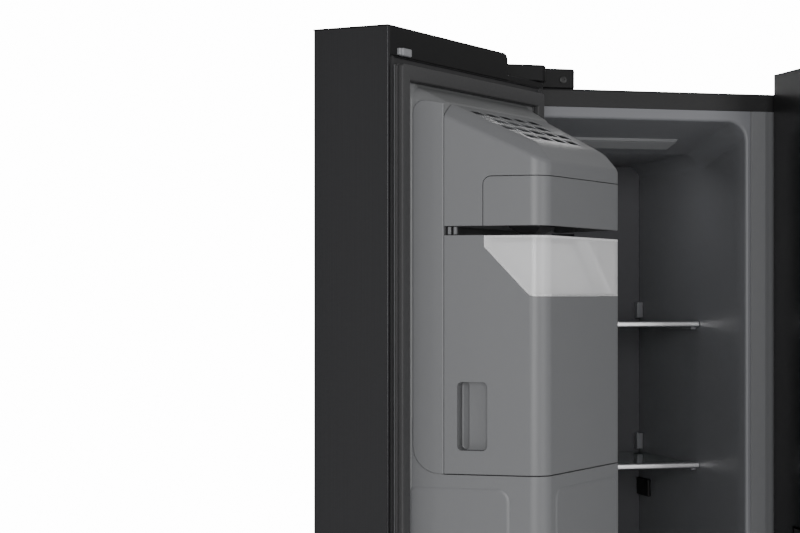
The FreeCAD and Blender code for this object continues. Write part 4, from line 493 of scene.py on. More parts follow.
for cold, (edge, way, face, width, thick) in DOORS.items():
    low, high = corners_of(cold + "_door_skin")
    cap_high = corners_of(cold + "_door_caps")[1]
    plan = [(HEM, 0), (0, 0), (0, -thick), (width, -thick), (width, 0), (width - HEM, 0),
            (width - HEM, -SHEET), (width - SHEET, -SHEET), (width - SHEET, SHEET - thick),
            (SHEET, SHEET - thick), (SHEET, -SHEET), (HEM, -SHEET)]
    bends = [0.3, 1.5, FRONT_ROUND, FRONT_ROUND, 1.5, 0.3]
    bends += [0.3, 0.5, FRONT_ROUND - 1, FRONT_ROUND - 1, 0.5, 0.3]
    upward = [(0, low[2]), (0, high[2])]
    skin = shape(cold + "_door_steel", surface(on_door(cold, stacked(plan, bends, upward))))
    grip_low, grip_high = corners_of(cold + "_door_handle")
    carved(skin, door_block(cold, (-CLEAR, -thick - CLEAR, grip_low[2] + RIM),
                            (GRIP_WIDE, GRIP_DEEP - thick, grip_high[2] - RIM), 2, 1))
    if high[2] > cap_high[2] - CAP_HEIGHT + RIM:
        carved(skin, door_block(
            cold, (width - NOTCH, -thick + SHEET + RIM, cap_high[2] - CAP_HEIGHT + NOTCH_FLOOR),
            (width + CLEAR, CLEAR, cap_high[2] + CLEAR)))
    if cold == "freezer":
        panel_low, panel_high = corners_of("dispenser_panel")
        carved(skin, door_block(cold, (edge - panel_high[0] + 2, -thick - CLEAR, panel_low[2] + 2),
                                (edge - panel_low[0] - 2, -thick + CLEAR, panel_high[2] - 2)))
    fit(skin, cold + "_door", BLACK_STEEL, "dark_steel", cold + "_door_skin", sharp=40)


# Door end caps: black ABS mouldings that close the skins and carry the hinge bushes. The top one stands up
# inside the steel, rounded where it stops short of the hinge.

# Deep black and dull, for a close etched grain.
BLACK_ABS = made_of("grained_black_abs", moulded, ("#08080a", "#0b0b0c"), 0.5, 0.9, 0.35, ior=1.36)
LIP_HEIGHT, CAP_ROUND = 2.0, 9.0
FOOT_CAP = 18.0
for cold, (edge, way, face, width, thick) in DOORS.items():
    low, high = corners_of(cold + "_door_caps")
    foot = [(0, 0), (0, -thick), (width, -thick), (width, 0)]
    sill = high[2] - CAP_HEIGHT
    end = oblong(SHEET, sill, width - NOTCH, high[2])
    lid = oblong(0, high[2] - LIP_HEIGHT, width - NOTCH - CAP_ROUND, high[2])
    corner = (width - NOTCH - 1, SHEET - thick, sill)
    top = shape(
        cold + "_door_end_caps",
        surface(on_door(cold, upright(stacked(end, [0.6, 0.6, CAP_ROUND, 0.6],
                                              edged(SHEET - thick, -0.1, 1.5))))),
        surface(on_door(cold, upright(stacked(lid, 0.8, edged(-thick, 0, 0.9))))),
        door_block(cold, corner, (width, 0, sill + NOTCH_FLOOR)),
        door_block(cold, corner, (width - SHEET, SHEET + RIM - thick, high[2])),
        surface(on_door(cold, stacked(foot, [0.8, FRONT_ROUND, FRONT_ROUND, 0.8],
                                      edged(low[2], low[2] + FOOT_CAP, 1.5)))),
    )
    fit(top, cold + "_door", BLACK_ABS, "black_plastic", cold + "_door_caps", sharp=40)


# Door liners: vacuum formed like the compartments. A bead runs round inside the hem, the gasket's seat lies
# inside it, and a broad dike stands up to seal the mouth and carry what hangs on the door.

# Dark, to read as a shadow line beside the steel.
BEAD_STYRENE = made_of("dark_door_styrene", moulded, ("#232324", "#28282a"), 0.45, 1.0, 0.1)
# The liners' grey on the doors: satin, with soft edges of light on the dike.
DOOR_STYRENE = made_of("satin_door_styrene", moulded, ("#6c6d6e", "#727374"), 0.4, 1.0, 0.1)
SEAT, SEAT_WIDTH = 15.5, 18.0
DIKE = {"free": 47.0, "hinge": 39.0, "crest": 55.0, "height": 38.0, "wall": 12.0}
DIKE_FOOT, DIKE_CREST = (36, 61), (54, 81)  # from the door's bottom and from its top
FOOT_CORNER = 16.0
for cold, (edge, way, face, width, thick) in DOORS.items():
    bottom, top = (corner[2] for corner in corners_of(cold + "_door_caps"))
    foot_low, foot_high = bottom + DIKE_FOOT[0], top - DIKE_FOOT[1]
    crest_low, crest_high = bottom + DIKE_CREST[0], top - DIKE_CREST[1]
    plate_low, plate_high = bottom + FOOT_CAP, top - CAP_HEIGHT
    seal_top = corners_of(cold + "_door_gasket")[1][2]

    def border(depth, inset, radius=1.0):
        """A row of the flat border: full insets at the sides, none at the foot, and at the top narrow beads
        with the rest of the border above the gasket."""
        upper = seal_top - 1 if inset > SEAT - 1 else plate_high - inset / 12
        return (depth, inset, width - inset, plate_low, upper, radius)

    def dike(depth, share, inset, radius):
        """A row of the dike, a share of the way from its foot to its crest, moved in by an inset."""
        free, hinge = DIKE["free"], width - DIKE["hinge"]
        return (depth, free + (DIKE["crest"] - free) * share + inset,
                hinge + (width - DIKE["crest"] - hinge) * share - inset,
                foot_low + (crest_low - foot_low) * share + inset,
                foot_high + (crest_high - foot_high) * share - inset, radius)

    tall, wall = DIKE["height"], DIKE["wall"]
    bead = rectangles([border(-2.4, SHEET), border(-0.2, SHEET), border(-0.2, HEM), border(-1.8, HEM + 0.3),
                       border(-1.8, 7.3), border(0.2, 7.7), border(0.5, 10), border(0.2, 12.3),
                       border(-1.8, 12.7), border(-1.8, SEAT - 0.1), border(-2.4, SEAT - 0.1)], 6)
    bead = shape(cold + "_door_bead", surface(on_door(cold, bead), loop=True))
    fit(bead, cold + "_door", BEAD_STYRENE, "gasket", sharp=50)
    seat_end = SEAT + SEAT_WIDTH
    rows = [border(-2.4, SEAT), border(0, SEAT + 0.3),
            (0, seat_end, width - seat_end, plate_low + 15.5, plate_high - 25.5, 3),
            (1.5, seat_end + 1, width - seat_end - 1, plate_low + 16.5, plate_high - 26.5, 3),
            dike(1.5, 0, -1.5, FOOT_CORNER), dike(2.2, 0.02, -0.6, FOOT_CORNER), dike(4, 0.1, 0, FOOT_CORNER),
            dike(tall - 5, 0.86, 0, FOOT_CORNER), dike(tall - 1.5, 0.97, 0.7, FOOT_CORNER),
            dike(tall, 1, 2.5, FOOT_CORNER), dike(tall, 1, wall - 3, 9), dike(tall - 3, 1, wall, 9),
            dike(4, 1, wall, 9), dike(1, 1, wall + 1, 9), dike(0, 1, wall + 4, 9)]
    panel = shape(cold + "_door_inner", surface(on_door(cold, rectangles(rows, 6))))
    fit(panel, cold + "_door", DOOR_STYRENE, "module_grey", cold + "_door_liner", sharp=50)


# Gaskets: soft PVC extrusions, mitred and welded at the corners, with a magnet strip in the bulb. They press
# into the seats and close the gap to the cabinet.

# Dark and nearly matt, as soft PVC is.
GASKET_PVC = made_of("extruded_soft_pvc", moulded, ("#39393a", "#3e3e3f"), 0.55, 3.0, 0.1)
for cold, (edge, way, face, width, thick) in DOORS.items():
    low, high = corners_of(cold + "_door_gasket")
    free = abs((high if way < 0 else low)[0] - edge)
    far = abs((low if way < 0 else high)[0] - edge)
    deep = high[1] - face
    bulb = [(0, 0), (0, 1.6), (1.6, 2.6), (0.6, 3.8), (0.4, deep - 2.2), (1.0, deep - 0.6), (2.4, deep),
            (SEAT_WIDTH / 2, deep + 0.01), (SEAT_WIDTH - 2.4, deep), (SEAT_WIDTH - 1.0, deep - 0.6),
            (SEAT_WIDTH - 0.4, deep - 2.2), (SEAT_WIDTH - 0.6, 3.8), (SEAT_WIDTH - 1.6, 2.6),
            (SEAT_WIDTH, 1.6), (SEAT_WIDTH, 0)]
    seal = shape(cold + "_door_seal", surface(
        on_door(cold, upright(stacked(oblong(free, low[2], far, high[2]), 4.0, bulb))), loop=True))
    fit(seal, cold + "_door", GASKET_PVC, "gasket", cold + "_door_gasket")


# Door foam: rigid polyurethane, foamed in place between skin and liner, so it has the hollow's own shape.
def foamed(tree, place, colour, cell_mm):
    """Rigid foam: pale and matt, with a skin of fine cells that shows as a close pitting."""
    cells = add(tree, "TexVoronoi", {"Vector": place, "Scale": 1000 / cell_mm})
    tone = between(tree, cells, *colour)
    relief = add(tree, "Bump", {"Height": cells, "Strength": 0.5, "Distance": 0.0005})
    return {"Base Color": tone, "Roughness": 0.85, "Normal": relief}


# Straw yellow and dull. The cells are drawn 2.5 mm wide, coarser than life.
FOAM = made_of("rigid_polyurethane_foam", foamed, ("#d8cba0", "#bfb184"), 2.5)
for cold, (edge, way, face, width, thick) in DOORS.items():
    low, high = corners_of(cold + "_door_insulation")
    start, stop = sorted((abs(low[0] - edge), abs(high[0] - edge)))
    hollow = oblong(start + 0.6, low[1] - face, stop - 0.6, -2.4)
    core = shape(cold + "_door_foam",
                 surface(on_door(cold, stacked(hollow, FRONT_ROUND, edged(low[2], high[2], 1)))))
    grip_low, grip_high = corners_of(cold + "_door_handle")
    grip_deep = max(abs(grip_low[0] - edge), abs(grip_high[0] - edge))
    carved(core, door_block(cold, (-CLEAR, -thick - CLEAR, grip_low[2] - 1),
                            (grip_deep + 1, grip_high[1] - face + 1, grip_high[2] + 1)))
    if cold == "freezer":
        carved(core, door_block(cold, (edge - panel_high[0] - 1, -thick - CLEAR, panel_low[2] - 1),
                                (edge - panel_low[0] + 1, panel_high[1] - face + 1, panel_high[2] + 1)))
        chute_low, chute_high = corners_of("ice_chute")
        carved(core, door_block(cold, (edge - chute_high[0] - 1, -thick, chute_low[2] - 1),
                                (edge - chute_low[0] + 1, CLEAR, chute_high[2] + 1)))
    fit(core, cold + "_door", FOAM, "foam", cold + "_door_insulation", sharp=40)


# Ice unit's lower housing: injection moulded ABS with a fine spark grain, as is the rest of the unit. It
# hangs on the door's dike, covers its sides, and has a shallow raised panel on each face to stiffen it.

# The liners' grey, with a finer sheen that spreads each highlight into a broad band.
UNIT_ABS = made_of("spark_grained_abs", moulded, ("#6f7072", "#747577"), 0.42, 0.8, 0.15)
UNIT_WIDTH = DOORS["freezer"][3]
SEAM = DIKE["height"] + 0.9
CREST = DIKE["crest"]
UNIT_FREE, UNIT_FAR, UNIT_DEEP = 78.0, 284.0, 150.0
UNIT_ROUNDS = (21.6, 12.0)
LEAN = (UNIT_FREE - CREST) / (UNIT_DEEP - SEAM), (UNIT_FAR - UNIT_WIDTH + CREST) / (UNIT_DEEP - SEAM)
housing_low = corners_of("ice_unit_housing")[0]
bucket_low, bucket_high = corners_of("ice_bucket")
cover_low, cover_high = corners_of("ice_maker_cover")
CHAMFER = 19.0
FRONT_HIGH = 1650.0  # the cover's top where its front bevel starts
TOP_FALL = (cover_high[2] - FRONT_HIGH) / (UNIT_DEEP - CHAMFER - SEAM)


def unit_ring(inset, near):
    """The unit's plan moved in by an inset, from a depth near the door to its front. Its slanted sides lean
    in steadily from the dike's crest to the front, and its two front corners are round."""
    start = near - inset
    corners = [(CREST + LEAN[0] * (start - SEAM), start), (UNIT_FREE, UNIT_DEEP), (UNIT_FAR, UNIT_DEEP),
               (UNIT_WIDTH - CREST + LEAN[1] * (start - SEAM), start)]
    ends = max(inset, 0) + 0.4
    return outline(corners, [ends, *UNIT_ROUNDS, ends], inset, 7)


def unit_stack(rows, near=SEAM):
    """Rings of the unit's plan, one for each row of inset, how much further back it starts, and height. A
    height below nought is a drop from the cover's top, which falls steadily from the dike to the front."""
    rings = []
    for inset, further, height in rows:
        ring = unit_ring(inset, near + further)
        slope = cover_high[2] - TOP_FALL * (ring[:, 1] - SEAM)
        rings.append(np.column_stack([ring, np.where(height > 0, height, slope + height)]))
    return hung(np.stack(rings))


def hung(rings, loop=False):
    """A surface on the freezer door from rings in its distances."""
    return surface(on_door("freezer", rings), loop)


def beside(points):
    """Places on the unit's free side from distances: along it from the dike, in from its face, and up."""
    along, inward, height = np.moveaxis(np.asarray(points, float), -1, 0)
    length = math.hypot(1, LEAN[0])
    return np.stack([CREST + (LEAN[0] * along + inward) / length, SEAM + (along - LEAN[0] * inward) / length,
                     height], -1)


def flank(rings):
    """A surface on the unit's free side, from rings drawn lying down."""
    return hung(beside(upright(rings)))


def through(corners, radii, inset=0.0, past=50):
    """A prism right across the door and past both its edges, of an outline in depth and height."""
    return hung(across(outline(corners, radii, inset, 6), (-past, UNIT_WIDTH + past)))


PROUD, PAD_RISE, PAD_ROUND = 0.4, 1.2, 14
PAD_EDGE = 16, 14  # from the housing's foot and from its seam
DIKE_ROUND = 30.0
APRON_TOP, APRON_HIGH = 60.0, 1699.0
FAR_OUT = 300  # a depth past the front of everything
seam_low = bucket_low[2] - 0.6
housing = shape("ice_unit_lower_housing", unit_stack(
    [(2.0, 0, housing_low[2]), (0.6 - PROUD, 0, housing_low[2] + 0.6), (-PROUD, 0, housing_low[2] + 2.0),
     (-PROUD, 0, seam_low + APRON_TOP)], near=2.0))
above_seam = oblong(4.0, seam_low, FAR_OUT, seam_low + 2 * APRON_TOP)
carved(housing, through(above_seam, [DIKE_ROUND, 1, 1, 1]))
pad_low, pad_high = housing_low[2] + PAD_EDGE[0], seam_low - PAD_EDGE[1]
side_pad = stacked(oblong(-46, pad_low, 74, pad_high), PAD_ROUND,
                   [(0, 0.8), (0, -0.1 - PROUD), (1.5, -0.6 - PROUD), (4, -PAD_RISE - PROUD)])
front_pad = stacked(oblong(104, pad_low, 273, pad_high), PAD_ROUND,
                    [(0, -1), (0, 0.1 + PROUD), (1.5, 0.6 + PROUD), (4, PAD_RISE + PROUD)])
apron = stacked(
    [(-35.5, seam_low + 0.9), (-0.3, seam_low + 0.9), (-0.3, APRON_HIGH - 6), (-35.5, APRON_HIGH)],
    [DIKE_ROUND, 0.6, 0.6, 13.0], [(0, 0.8), (0, -0.4), (0.4, -0.9), (1.2, -1.2)])
carved(housing, flank(side_pad), hung(upright(front_pad) + [0, UNIT_DEEP, 0]), keep="UNION")
fit(housing, "freezer_door", UNIT_ABS, "module_grey", "ice_unit_housing", sharp=35)
side_panel = shape("ice_unit_side_panel", flank(apron))
fit(side_panel, "freezer_door", UNIT_ABS, "module_grey", sharp=35)


# Ice bucket: one moulding open at the top, cut away at its front corner for a clear window, with a finger
# pocket in its free side. It slides off the dike on two rails.
BUCKET_WALL = 3.0
window_low, window_high = corners_of("ice_bucket_window")
WINDOW = [(83, window_high[2] + 4), (83, window_high[2] - 13), (133, window_low[2]),
          (FAR_OUT, window_low[2]), (FAR_OUT, window_high[2] + 4)]
WINDOW_ROUNDS = [0.5, 3, 14, 1, 1]
POCKET = (15.0, 49.0, 1313.0, 1388.0)
POCKET_DEEP, POCKET_STEP = 11.0, 20.0
bucket = shape("ice_bucket_shell", unit_stack(
    [(1.4, 0, bucket_low[2] + 0.1), (0.4, 0, bucket_low[2] + 0.5), (0, 0, bucket_low[2] + 1.4),
     (0, 0, bucket_high[2] - 0.8), (0.5, 0, bucket_high[2]),
     (BUCKET_WALL - 0.5, BUCKET_WALL, bucket_high[2]), (BUCKET_WALL, BUCKET_WALL, bucket_high[2] - 0.8),
     (BUCKET_WALL, BUCKET_WALL, bucket_low[2] + BUCKET_WALL + 2),
     (BUCKET_WALL + 2, BUCKET_WALL + 2, bucket_low[2] + BUCKET_WALL)]))


def pocket_box(start, stop, low, high, near, deep, radius):
    """A rounded pocket's space or lining in the bucket's side, between two depths in from its face."""
    rings = stacked(oblong(start, low, stop, high), radius,
                    [(0, near), (0, deep - 2), (0.6, deep - 0.6), (2, deep)])
    return flank(rings)


start, stop, low, high = POCKET
carved(bucket, pocket_box(start - 3, stop + 3, low - 3, high + 3, 1.0, POCKET_STEP + 3, 9), keep="UNION")
carved(bucket, pocket_box(start, stop, low, high, -CLEAR, POCKET_DEEP, 6))
carved(bucket, pocket_box(start, start + POCKET_DEEP, low, high, -CLEAR, POCKET_STEP, 5))
carved(bucket, through(WINDOW, WINDOW_ROUNDS))
fit(bucket, "ice_bucket", UNIT_ABS, "module_grey", "ice_bucket", sharp=35)


# Bucket window: clear styrene-acrylonitrile, moulded with a deep rim that welds to the bucket's cut edge. A
# white ABS tub stands inside the bucket behind it. Its white is painted brightness seen through the window.
def clear_moulding(tree, place, colour, roughness, clearness, flow_mm=40):
    """Clear moulded plastic: see-through by a share of its surface, which lets light straight in, with an
    opaque rest in its own colour and faint flow lines in its gloss. On the bucket window the white rest is
    painted brightness."""
    flow = add(tree, "TexNoise", {"Vector": place, "Scale": 1000 / flow_mm, "Detail": 2.0})
    sheen = add(tree, "MapRange", {"Value": flow, "To Min": roughness, "To Max": roughness + 0.08})
    tone = between(tree, flow, *colour)
    return {"Base Color": tone, "Roughness": sheen, "IOR": 1.5, "Alpha": 1 - clearness}


# Glassy, with a white share painted in for the window's brightness and the white tub showing through it.
# The welded rim is painted milky white and nearly opaque, as a painted glow of light in its thick edge.
CLEAR_SAN_PAINTED_BRIGHT = made_of("clear_san_painted_bright", clear_moulding, ("#ffffff", "#f8f8fa"), 0.05, 0.55)
WELDED_SAN_PAINTED_GLOW = made_of("welded_san_painted_glow", clear_moulding, ("#ffffff", "#f9f9fb"), 0.25, 0.1)
RIM_DEEP, RIM_THICK, WELD_GAP = 11.0, 2.4, 0.3
WINDOW_TOP = window_high[2] - WELD_GAP
LET_IN = [(WINDOW[0][0], WINDOW_TOP), *WINDOW[1:4], (WINDOW[4][0], WINDOW_TOP)]


def window_part(name, wall):
    """The unit's wall, that thick, where it lies inside the window's opening less the gap of the weld."""
    rings = []
    low, high = window_low[2] - 10, window_high[2] + 10
    for inset, height in ((0, low), (0, high), (wall, high), (wall, low)):
        ring = unit_ring(inset, SEAM + inset)
        rings.append(np.column_stack([ring, np.full(len(ring), height)]))
    part = shape(name, hung(np.stack(rings), loop=True))
    return carved(part, through(LET_IN, WINDOW_ROUNDS, WELD_GAP), keep="INTERSECT")


pane = window_part("bucket_window_pane", RIM_THICK)
rim = window_part("bucket_window_rim", RIM_DEEP)
carved(rim, through(LET_IN, WINDOW_ROUNDS, WELD_GAP + RIM_THICK, past=60))
strut = stacked([(186, window_high[2] - 2), (258, window_low[2] + 4), (270, window_low[2] + 4),
                 (198, window_high[2] - 2)], 2.0, edged(UNIT_DEEP - 14, UNIT_DEEP - RIM_THICK - 0.1, 1.0))
carved(rim, hung(upright(strut)), keep="UNION")
fit(rim, "ice_bucket", WELDED_SAN_PAINTED_GLOW, "clear_plastic")
fit(pane, "ice_bucket", CLEAR_SAN_PAINTED_BRIGHT, "clear_plastic", "ice_bucket_window")
tub = shape("bucket_inner_tub", unit_stack(
    [(22, 22, window_low[2] - 40), (21, 21, window_low[2] - 38), (21, 21, window_high[2] - 8),
     (22, 22, window_high[2] - 7), (24, 24, window_high[2] - 7), (24, 24, window_low[2] - 36)]))
# Plain white: painted brightness, to light the window from behind.
WHITE_ABS_PAINTED_BRIGHT = made_of("white_abs_painted_bright", moulded, ("#e9e9ec", "#f1f1f3"), 0.35, 1.5, 0.1)
fit(tub, "ice_bucket", WHITE_ABS_PAINTED_BRIGHT, "clear_plastic")


# Ice maker's cover: a hood with a sloping, vented top, bevelled all round, and a flap at its lower front
# that slides up to reach the ice tray. It screws to the dike.
HOOD_WALL = 3.0
COVER_ROWS = [
    (HOOD_WALL + 20, HOOD_WALL, -1.0), (HOOD_WALL, HOOD_WALL, -19.5),
    (HOOD_WALL, HOOD_WALL, cover_low[2] + 0.6), (HOOD_WALL - 0.5, HOOD_WALL, cover_low[2]),
    (0.5, 0, cover_low[2]), (0, 0, cover_low[2] + 0.6), (0, 0, -18.0), (0.3, 0, -15.5), (1.2, 0, -13.2),
    (2.6, 0, -11.4), (12, 0, -4.0), (14.4, 0, -2.3), (17.5, 0, -0.9), (20.5, 0, -0.1), (22, 0, -1e-6)]
FLAP = oblong(82, cover_low[2] - 10, FAR_OUT, cover_low[2] + 54)
FLAP_ROUNDS, FLAP_GAP = [1, 1, 1, 9], 0.45
VENT_START, VENT_LONG, VENT_WIDE, VENT_PITCH, VENT_ROW = (88, 50), 30.0, 12.0, 36.0, 19.0
vents = []
for row in range(4):
    for k in range(5 - row % 2):
        start, depth = VENT_START[0] + VENT_PITCH * (k + row % 2 / 2), VENT_START[1] + VENT_ROW * row
        vents.append(door_block("freezer", (start, depth, FRONT_HIGH - 50),
                                (start + VENT_LONG, depth + VENT_WIDE, FRONT_HIGH + 70), 1.2))
hood = carved(shape("ice_maker_hood", unit_stack(COVER_ROWS)), *vents)
carved(hood, through(FLAP, FLAP_ROUNDS, -FLAP_GAP))
fit(hood, "freezer_door", UNIT_ABS, "module_grey", "ice_maker_cover", sharp=25)
flap = shape("ice_maker_flap", unit_stack(COVER_ROWS))
carved(flap, through(FLAP, FLAP_ROUNDS, FLAP_GAP), keep="INTERSECT")
fit(flap, "cover_flap", UNIT_ABS, "module_grey", "ice_cover_flap", sharp=25)
LATCH_LOW, LATCH_HIGH, LATCH_WIDE = 1548.8, 1557.2, 3.5
tabs = shape("cover_latch_tabs", *[
    hung(beside(stacked(oblong(near, 1.2, near + LATCH_WIDE, 7), 0.6, edged(LATCH_LOW, LATCH_HIGH, 0.5))))
    for near in (4.0, 10.5)])
fit(tabs, "freezer_door", UNIT_ABS, "module_grey")


# Ice sensor's foot: a black ABS housing under the cover, snapped in from below, that looks down into the
# bucket for the level of the ice.
foot = stacked([(76, 106), (122, 106), (122, 143), (80, 143)], 3.0,
               [(0, cover_low[2] + 4), (0, cover_low[2] - 1), (1.0, cover_low[2] - 2.5),
                (9, cover_low[2] - 8.6)])
fit(shape("ice_sensor_foot", hung(foot)), "freezer_door", BLACK_ABS, "black_plastic")


# Clip: a moulded ABS keeper pushed into the freezer door's top cap, where the wiring leaves it. It is lighter
# than the cap, and smooth, so it stands out as a small grey stud.
TAB_ABS = made_of("moulded_grey_abs", moulded, ("#86878a", "#8e8f92"), 0.4, 1.0, 0.1)
clip = shape("cap_clip", door_block("freezer", (25, -4, 1743.2), (45.3, 5.0, 1751.8), 2.0, 1.4),
             door_block("freezer", (20.4, -4, 1743.8), (26, 3.5, 1751.2), 1.5, 1.0))
fit(clip, "freezer_door", TAB_ABS, "light_trim")


# Hinge covers: black ABS boxes over the hinge leaves, each held to the cabinet by a screw in its front, with
# a head that reaches out over the pin.
LEAF_TOP = cabinet_high[2]
COVER_HEAD, COVER_LENGTH, HEAD_REACH, HEAD_TOP = 67.0, 127.0, 15.0, 1772.0
SCREW_IN, SCREW_UP = 110.0, 11.5
COVER_TOP = corners_of("hinge_covers")[1][2]
pin_y = HINGE["pos_m"][1] * 1000
shells, screws = [], []
for cold in ("freezer", "fridge"):
    side = -1 if cold == "freezer" else 1
    edge = cabinet_low[0] if side < 0 else cabinet_high[0]

    def over(low, high, radius, rounding):
        """A block over a hinge, from distances in from the cabinet's side, back from its front, and up."""
        points, quads, ends = block(low, high, radius, rounding)
        return points * [-side, 1, 1] + [edge, 0, 0], quads, ends

    shells.append(over((0.3, 2.3, LEAF_TOP), (COVER_LENGTH, 90, COVER_TOP), 7, 2.5))
    shells.append(over((0.3, pin_y - HEAD_REACH, LEAF_TOP + 0.2), (COVER_HEAD, 40, HEAD_TOP), 9, 3.0))
    turn = np.linspace(0, 2 * math.pi, 25)[:-1]
    rings = [np.column_stack([edge - side * SCREW_IN + radius * np.cos(turn), np.full(24, depth),
                              LEAF_TOP + SCREW_UP + radius * np.sin(turn)])
             for radius, depth in ((4.6, 1.4), (4.6, 0.9), (3.8, 0.6), (1.6, 0.5), (1.2, 1.0))]
    screws.append(surface(np.stack(rings)))
fit(shape("hinge_cover_shells", *shells), "cabinet", BLACK_ABS, "black_plastic", "hinge_covers")
# Black and slightly oily, a little glossier than the cover round it.
BLACK_OXIDE = made_of("black_oxide_steel", moulded, ("#0d0d0e", "#121213"), 0.4, 0.6, 0.2)
fit(shape("hinge_cover_screws", *screws), "cabinet", BLACK_OXIDE, "black_plastic")


# Shelves: tempered glass let into an extruded aluminium trim in front. Each rests on moulded ledges that
# clip to the walls.
def anodised(tree, place, colour, roughness, line_mm=2 / 3):
    """Satin metal: a bright, slightly blurred reflection, with fine lines drawn out 100 times along the
    extrusion."""
    drawn = add(tree, "Mapping", {"Vector": place, "Scale": (0.01, 1.0, 1.0)})
    lines = add(tree, "TexNoise", {"Vector": drawn, "Scale": 1000 / line_mm, "Detail": 2.0})
    sheen = add(tree, "MapRange", {"Value": lines, "To Min": roughness - 0.05, "To Max": roughness + 0.1})
    tone = between(tree, lines, *colour)
    return {"Base Color": tone, "Metallic": 1.0, "Roughness": sheen}


def tempered_glass(tree, place, haze_mm):
    """Float glass: clear and faintly green, with a slow haze in its gloss."""
    haze = add(tree, "TexNoise", {"Vector": place, "Scale": 1000 / haze_mm, "Detail": 3.0})
    sheen = add(tree, "MapRange", {"Value": haze, "To Min": 0.02, "To Max": 0.07})
    tone = between(tree, haze, "#dfe8e5", "#d9e4e0")
    return {"Base Color": tone, "Roughness": sheen, "IOR": 1.52, "Transmission Weight": 0.92}


# The brightest lines inside: each trim shows as a thin silver stripe.
TRIM_ALUMINIUM = made_of("satin_anodised_aluminium", anodised, ("#ececee", "#f5f5f6"), 0.3)
SHELF_GLASS = made_of("tempered_float_glass", tempered_glass, 83)
SHELF_COUNT, SHELF_PITCH = 5, 198.0
TRIM_TALL, TRIM_DEEP, GLASS = 7.5, 10.0, 4.0
shelf_low, shelf_high = corners_of("shelf_trims")
TOP_SHELF = shelf_high[2] - TRIM_TALL / 2
SIDES = {}
for cold in ("freezer", "fridge"):
    panel_low, panel_high = corners_of(cold + "_back_panel")
    SIDES[cold] = (panel_low[0], panel_high[0], panel_low[1])
trims, panes, ledges = [], [], []
front = shelf_low[1]
for cold, (left, right, back) in SIDES.items():
    for k in range(SHELF_COUNT):
        middle = TOP_SHELF - k * SHELF_PITCH
        rail = np.array([(0, -TRIM_TALL), (TRIM_DEEP, -TRIM_TALL), (TRIM_DEEP, -GLASS), (5, -GLASS),
                         (5, GLASS), (TRIM_DEEP, GLASS), (TRIM_DEEP, TRIM_TALL), (0, TRIM_TALL)])
        section = outline(rail * [1, 0.5] + [front, middle], [2.2, 0.5, 0.3, 0.3, 0.3, 0.3, 0.5, 2.2])
        trims.append(surface(across(section, (left, right))))
        panes.append(block((left + 0.2, front + 5.3, middle - GLASS / 2 + 0.05),
                           (right - 0.2, back - 1, middle + GLASS / 2 - 0.05), 3, 0.6))
        for x in (left - 1, right - 7):
            ledges.append(block((x, front + 11, middle - GLASS / 2 - 6),
                                (x + 8, back, middle - GLASS / 2), 2, 1.2))
fit(shape("shelf_edge_trims", *trims), "cabinet", TRIM_ALUMINIUM, "silver_trim", "shelf_trims")
fit(shape("shelf_panes", *panes), "cabinet", SHELF_GLASS, "shelf_glass", "shelf_glass")


# Drawers and door bins: clear styrene boxes, moulded with drawn-in walls, a rolled rim and round corners.
# They are smoky and half clear: walls read as pale veils, darker where two lie behind each other.
CLEAR_STYRENE = made_of("moulded_clear_styrene", clear_moulding, ("#c9cbce", "#bfc1c5"), 0.12, 0.7)


def open_box(low, high, wall, radius, draft=4.0, place=None):
    """An open box between two corners: its rounded plan, drawn in at the foot, is carried up the outside,
    over a rolled rim, down the inside and across the floor."""
    lip = 1.5
    path = [(draft + 4, low[2]), (draft + 1, low[2] + 1), (draft, low[2] + 4), (lip, high[2] - 9),
            (0.3, high[2] - 8), (0, high[2] - 7), (0, high[2] - 1), (0.6, high[2]), (lip + wall, high[2]),
            (lip + wall, high[2] - 8), (draft + wall, low[2] + 6), (draft + wall + 3, low[2] + wall)]
    rings = stacked(oblong(*low[:2], *high[:2]), radius, path)
    return surface(rings if place is None else on_door(place, rings))


for label, body in (("freezer_drawer_lower", "lower_freezer_drawer"),
                    ("freezer_drawer_upper", "upper_freezer_drawer"),
                    ("crisper_lower", "cabinet"), ("crisper_upper", "cabinet")):
    low, high = corners_of(label)
    pull = oblong(low[0] + 30, low[1] - 0.1, high[0] - 30, low[1] + 3)
    tub = shape(label + "_tub", open_box(low, high, 2.5, 14),
                surface(stacked(pull, 1.0, edged(high[2] - 46, high[2] - 38, 1.0))))
    fit(tub, body, CLEAR_STYRENE, "drawer_plastic", label)
    left, right, back = SIDES["freezer" if "freezer" in label else "fridge"]
    for start, stop in ((left - 1, low[0] + 14), (high[0] - 14, right + 1)):
        ledges.append(block((start, low[1] + 10, low[2] - 6.3), (stop, high[1], low[2] - 0.3), 2, 1))
fit(shape("shelf_and_drawer_ledges", *ledges), "cabinet", LINER_STYRENE, "liner_grey", "shelf_supports")
BINS, BIN_TALL = {"freezer": (3, 270.0), "fridge": (5, 312.5)}, 110
for cold, (count, pitch) in BINS.items():
    low, high = corners_of(cold + "_door_bins")
    edge, way, face, width, thick = DOORS[cold]
    start, stop = DIKE["crest"] + DIKE["wall"] + 10, width - DIKE["crest"] - DIKE["wall"] - 2
    boxes = [open_box((start, 0, foot), (stop, high[1] - face, foot + BIN_TALL), 2.5, 12, place=cold)
             for foot in low[2] + pitch * np.arange(count)]
    fit(shape(cold + "_door_shelves", *boxes), cold + "_door", CLEAR_STYRENE, "drawer_plastic",
        cold + "_door_bins")


